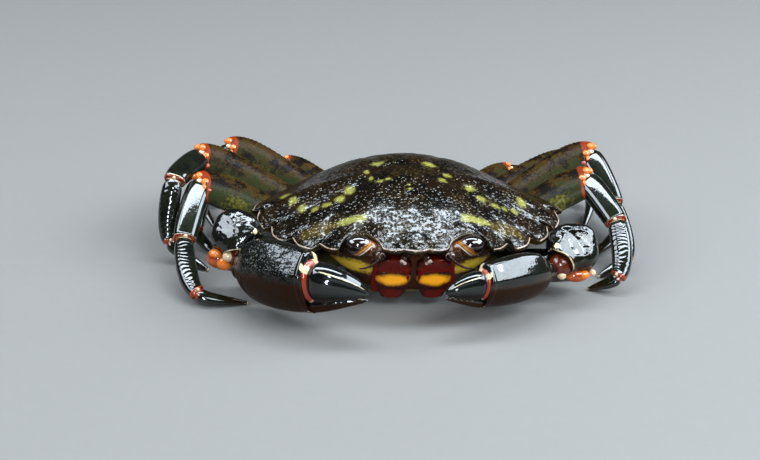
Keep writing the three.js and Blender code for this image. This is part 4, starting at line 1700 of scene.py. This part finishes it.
CLAWS = (
    Claw(Side.RIGHT, ((-14, -11, 6), (-42.2, -13.2, 9.4)), (-38.4, -14, 14.6), (5.2, 5.0, 5.6),
         (-37.9, -19.4, 9.7), (-22.6, -31.6, 12.4), (-10.2, -35.0, 11.0), (-10.6, -34.6, 9.4), 1.0,
         (((-42.4, -15.2, 9.6), (2.6, 2.2, 2.3), "film"), ((-42.9, -16.2, 11.2), (1.5, 1.3, 1.0), "spot"),
          ((-41.0, -17.0, 9.2), (1.8, 1.4, 1.6), "spot"), ((-40.2, -18.0, 11.4), (1.25, 1.1, 1.2), "pale")),
         (-0.35, -0.5, 0.8), 0.97),
    Claw(Side.LEFT, ((14, -11, 6), (38.4, -14.2, 7.0)), (35.8, -14.6, 11.6), (5.6, 5.2, 5.6),
         (30.2, -20.6, 8.8), (14.2, -30.2, 10.8), (5.6, -34.0, 10.6), (5.8, -33.6, 9.2), 0.74,
         (((36.6, -17.2, 6.4), (2.8, 1.9, 1.6), "film"), ((38.0, -17.6, 6.6), (1.6, 1.3, 1.1), "spot"),
          ((33.0, -19.6, 7.4), (1.0, 0.9, 0.9), "pale"), ((40.4, -16.6, 6.6), (0.8, 0.8, 0.8), "pale")),
         (0.2, -0.72, 0.66), 0.87, (0.25, 0.05), grain=0.0, crease=0.22),
)


# ---- The face ----------------------------------------------------------------------------------
@dataclass(frozen=True)
class Face:
    """One side of the face: eye, stalk, mouth plate and the two feelers.

    Places are those of the left side.
    """

    side: Side
    eye: tuple = (12.2, -22.9, 16.5)
    eye_half: tuple = (2.9, 2.0, 2.2)
    stalk_root: tuple = (6.6, -20.8, 14.4)
    stalk_end: tuple = (10.4, -22.4, 15.7)
    plate_top: tuple = (4.3, -23.2, 13.4)
    plate_bottom: tuple = (4.6, -19.2, 2.6)
    antenna_base: tuple = (7.7, -23.7, 14.4)
    antenna_root: tuple = (7.0, -23.6, 14.8)
    antenna_end: tuple = (12.0, -26.0, 12.6)
    antennule_base: tuple = (2.4, -25.4, 13.5)
    antennule_root: tuple = (1.7, -22.8, 14.9)
    antennule_end: tuple = (3.2, -26.4, 13.9)

    def at(self, xyz: tuple) -> Array:
        """A point of the left half, on this side."""
        return np.array([self.side.value * xyz[0], *xyz[1:]], float)

    def eye_surface(self) -> Surface:
        """The eye: an ellipsoid with its poles at the sides."""
        out = np.roll(globe(48, 64), 1, axis=-1)
        return closed_surface(out * np.array(self.eye_half) * 0.99 + self.at(self.eye))

    def socket(self) -> Surface:
        """The stalk's cap round the eye's lower inner half.

        It is an ellipsoid slightly larger than the eye, cut back by a wavy edge.

        Returns:
            The surface.
        """
        out = np.roll(globe(58, 72), 1, axis=-1)
        facing = out @ unit((-0.72 * self.side.value, -0.2, -0.66))
        cover = ease(0.12, 0.26, facing + 0.05 * np.sin(5 * turns(72)))
        reach = mix(0.9, 1.045, cover)[..., None]
        return closed_surface(out * np.array(self.eye_half) * reach + self.at(self.eye),
                              pale=0.9 * hill(facing, 0.66, 0.07),
                              band=0.8 * hill(facing, 0.22, 0.1), spot=0.8 * hill(facing, 0.45, 0.12),
                              wash=0.8 * ease(0.7, 0.85, facing), film=0.9)

    def stalk(self) -> Surface:
        """The stalk: a short tube into the orbit.

        Returns:
            The surface.
        """
        root, end = self.at(self.stalk_root), self.at(self.stalk_end)
        limb = Limb(root, end, UP, (1.7, 1.9, 1.9), (1.7, 1.8, 1.8))
        t, share = Ends(cup=0.0).profile(limb.length, 24)
        return closed_surface(limb.rings(t, share, turns(40)), pale=0.6 * hill(t, 0.5, 0.15)[:, None])

    def mouth_plate(self, limb: Limb, amber: bool) -> Surface:
        """One squared plate with a furrow near its outer edge.

        Args:
            limb: Its tube.
            amber: Whether it has an oval amber patch. Without one it darkens downwards.

        Returns:
            The surface.
        """
        t, share = Ends(neck=0.9, knuckle=0.3, cup=0.0).profile(limb.length, 44)
        turn, place = turns(64), t[:, None]
        wide = np.sin(turn)
        furrow = 0.12 * hill(wide, 0.55 * self.side.value, 0.16) * ease(0.1, 0.3, place)
        rings = limb.rings(t, share, turn, -furrow, square=0.75)
        if amber:
            oval = np.abs(wide / 0.8) ** 1.7 + np.abs((place - 0.27) / 0.2) ** 1.7
            tones = {"spot": 1 - 0.5 * oval**0.6, "band": ease(0.5, 0.8, place)}
        else:
            tones = {"wash": 0.9 * ease(0.2, 0.9, place), "band": ease(0.9, 0.6, place)}
        tones["band"] = 0.9 * tones["band"] * (1 - wide**2)
        return closed_surface(rings, film=0.9, dry=0.75, **tones)

    def plates(self) -> Surface:
        """The outer mouthpart.

        It has a square upper plate, a long lower plate with an amber patch, the jointed palp at
        its inner corner and a slim outer branch.

        Returns:
            The surface.
        """
        top, bottom = self.at(self.plate_top), self.at(self.plate_bottom)
        across, sideways = -FORWARD, self.at((1.0, 0.0, 0.0))
        split = mix(top, bottom, 0.3)
        upper = Limb(top + (0, 0.1, 0), split, across, (2.9, 3.7, 3.8, 3.6), [0.95] * 4)
        lower = Limb(split + (bottom - top) * 0.02, bottom, across, (3.8, 3.9, 3.4, 2.3), [0.95] * 4)
        palp = Limb(mix(top, split, 0.8) - sideways * 2.6 + FORWARD * 0.5,
                    mix(split, bottom, 0.42) - sideways * 3.3 + FORWARD * 0.4,
                    across, (0.7, 0.65, 0.5, 0.35), (0.6, 0.5, 0.4, 0.3))
        branch = Limb(top + sideways * 3.7 + (0, 0.5, -0.6), bottom + sideways * 3.3 + (0, 0.4, 1.0),
                      across, (0.6, 1.0, 1.2, 1.0), [0.6] * 4)
        made = [self.mouth_plate(upper, False), self.mouth_plate(lower, True)]
        for limb, knuckle, rows, waist in ((palp, 0.4, 30, 0.25), (branch, 0.3, 40, 0.0)):
            t, share = Ends(cup=0.0, knuckle=knuckle).profile(limb.length, rows)
            rings = limb.rings(t, share * (1 - waist * hill(t, 0.5, 0.05)), turns(24))
            made.append(closed_surface(rings, film=0.9, wash=0.9, dry=0.9))
        return joined(made)

    def antenna(self) -> Surface:
        """The long feeler: a tapering ringed whip on a stout base beside the stalk.

        Returns:
            The surface.
        """
        half = (0.8, 0.38, 0.25, 0.16)
        leave, arrive = unit(self.at((0.1, -1.0, -0.1))), unit(self.at((1.0, 0.5, 0.1)))
        ends = self.at(self.antenna_root), self.at(self.antenna_end)
        limb = Limb(*ends, UP, half, half, leave, arrive)
        t, share = Ends(cup=0.0, knuckle=0.5).profile(limb.length, 90)
        beads = 1 + 0.07 * np.sin(math.tau * t * limb.length / 0.55)
        whip = closed_surface(limb.rings(t, share * beads, turns(20)), wash=0.9, dry=0.9,
                              pale=0.8 * hill(t, 0.1, 0.03)[:, None])
        return joined([whip, ball(self.at(self.antenna_base), (1.35, 1.1, 1.1), film=1.0)])

    def antennule(self) -> Surface:
        """The short feeler, folded under the front: three stout joints and a small brush.

        Returns:
            The surface.
        """
        half = (1.0, 0.85, 0.45)
        limb = Limb(self.at(self.antennule_root), self.at(self.antennule_end), UP, half, half)
        t, share = Ends(cup=0.0, knuckle=0.4).profile(limb.length, 50)
        knots = 1 - 0.22 * (hill(t, 0.35, 0.05) + hill(t, 0.7, 0.05))
        joints = closed_surface(limb.rings(t, share * knots, turns(24)),
                                pale=0.75 * hill(t, 0.9, 0.12)[:, None])
        return joined([joints, ball(self.at(self.antennule_base), (0.45, 0.5, 0.4), pale=0.9)])

    def build(self) -> None:
        """Makes this side's pieces."""
        word = self.side.word
        make_piece(f"cornea_{word}", self.eye_surface(), CORNEA, "eye", f"eye_{word}")
        for part, surface, finish, slot in (
            ("eyestalk", joined([self.stalk(), self.socket()]), STALK, "stalk"),
            ("maxilliped", self.plates(), MOUTH, "mouth"),
            ("antenna", self.antenna(), FEELER, "feeler"),
            ("antennule", self.antennule(), FEELER, "feeler"),
        ):
            make_piece(f"shell_{part}_{word}", surface, finish, slot, f"{part}_{word}")


# ---- The studio --------------------------------------------------------------------------------
def seen_from(azimuth: float, elevation: float) -> Vector:
    """The direction at an azimuth round the crab, from -Y to +X, and an elevation, in degrees."""
    turn, rise = math.radians(azimuth), math.radians(elevation)
    return Vector((math.sin(turn) * math.cos(rise), -math.cos(turn) * math.cos(rise), math.sin(rise)))


@dataclass(frozen=True)
class Softbox:
    """A rectangular lamp: azimuth round the crab from -Y, elevation, distance, sizes and power."""

    name: str
    azimuth: float
    elevation: float
    distance: float
    width: float
    depth: float
    watts: float
    colour: tuple[float, float, float] = (0.8, 0.91, 1.0)

    def build(self) -> None:
        """Adds the lamp, turned to the crab."""
        data = bpy.data.lights.new(self.name, "AREA")
        data.shape, data.size, data.size_y = "RECTANGLE", self.width, self.depth
        data.energy, data.color = self.watts, self.colour
        lamp = bpy.data.objects.new(self.name, data)
        way = seen_from(self.azimuth, self.elevation)
        lamp.location = way * self.distance
        lamp.rotation_euler = way.to_track_quat("Z", "Y").to_euler()
        bpy.context.scene.collection.objects.link(lamp)


@dataclass(frozen=True)
class Studio:
    """A pale floor, soft lamps and the camera.

    Angles are in degrees. The camera's lens, sensor, distance and aim are in millimetres, and aim
    is the point that falls on aim_pixel of a picture of frame_size. The floor's half size is in
    metres.
    """

    azimuth: float = -4.5
    elevation: float = 26.0
    roll: float = 2.0
    lens: float = 85.0
    sensor: float = 36.0
    distance: float = 382.0
    aim: tuple[float, float, float] = (0.0, -27.0, 17.0)
    aim_pixel: tuple[float, float] = (417.0, 252.0)
    frame_size: tuple[int, int] = (760, 460)
    floor_half: float = 2.0
    surround_colour: str = "#c3cbd6"
    surround_strength: float = 0.1
    softboxes: tuple[Softbox, ...] = (
        Softbox("lamp_over", 180, 79.5, 0.55, 0.62, 0.125, 5.0),
        Softbox("lamp_front", 38, 52, 0.6, 0.36, 0.2, 3.6),
        Softbox("lamp_right", -84, 46, 0.55, 0.5, 0.2, 3.5),
        Softbox("lamp_left", 86, 40, 0.55, 0.62, 0.27, 6.8),
        Softbox("lamp_fill", -8, 22, 0.7, 0.05, 0.26, 2.9),
    )

    def add_camera(self) -> None:
        """Places the camera so that aim falls on aim_pixel."""
        azimuth, roll = math.radians(self.azimuth), math.radians(self.roll)
        back = seen_from(self.azimuth, self.elevation)
        level = Vector((math.cos(azimuth), math.sin(azimuth), 0))
        upright = back.cross(level)
        right = level * math.cos(roll) + upright * math.sin(roll)
        above = upright * math.cos(roll) - level * math.sin(roll)
        width, height = self.frame_size
        pixels = width * self.lens / self.sensor
        u = (self.aim_pixel[0] - width / 2) / pixels
        v = -(self.aim_pixel[1] - height / 2) / pixels
        place = (Vector(self.aim) + (back - right * u - above * v) * self.distance) * MM
        data = bpy.data.cameras.new("camera")
        data.lens, data.sensor_width, data.clip_start = self.lens, self.sensor, 0.01
        camera = bpy.data.objects.new("camera", data)
        turned = Matrix((right, above, back)).transposed().to_4x4()
        camera.matrix_world = Matrix.Translation(place) @ turned
        bpy.context.scene.collection.objects.link(camera)
        bpy.context.scene.camera = camera

    def add_surround(self) -> None:
        """Adds a dim even light from all sides."""
        world = bpy.data.worlds.new("studio")
        world.use_nodes = True
        background = world.node_tree.nodes["Background"]
        background.inputs["Color"].default_value = linear(self.surround_colour)
        background.inputs["Strength"].default_value = self.surround_strength
        bpy.context.scene.world = world

    def add_floor(self) -> None:
        """Adds the pale floor."""
        mesh = bpy.data.meshes.new("floor")
        corners = [(x * self.floor_half, y * self.floor_half, 0)
                   for x, y in ((-1, -1), (1, -1), (1, 1), (-1, 1))]
        mesh.from_pydata(corners, [], [(0, 1, 2, 3)])
        mesh.materials.append(FLOOR.material())
        floor = bpy.data.objects.new("floor", mesh)
        bpy.context.scene.collection.objects.link(floor)

    def build(self) -> None:
        """Adds camera, lamps and floor."""
        self.add_camera()
        for box in self.softboxes:
            box.build()
        self.add_surround()
        self.add_floor()
        bpy.context.scene.view_settings.view_transform = "Standard"


def main() -> None:
    """Builds the studio and the crab around the frame."""
    logging.basicConfig(level=logging.INFO, format="%(message)s")
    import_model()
    Studio().build()
    Carapace().build()
    Trunk().build()
    TailFlap().build()
    for side in Side:
        Face(side).build()
        for leg in LEG_SCALE:
            WalkingLeg(leg, side).build()
    for claw in CLAWS:
        claw.build()


if __name__ == "__main__":
    main()
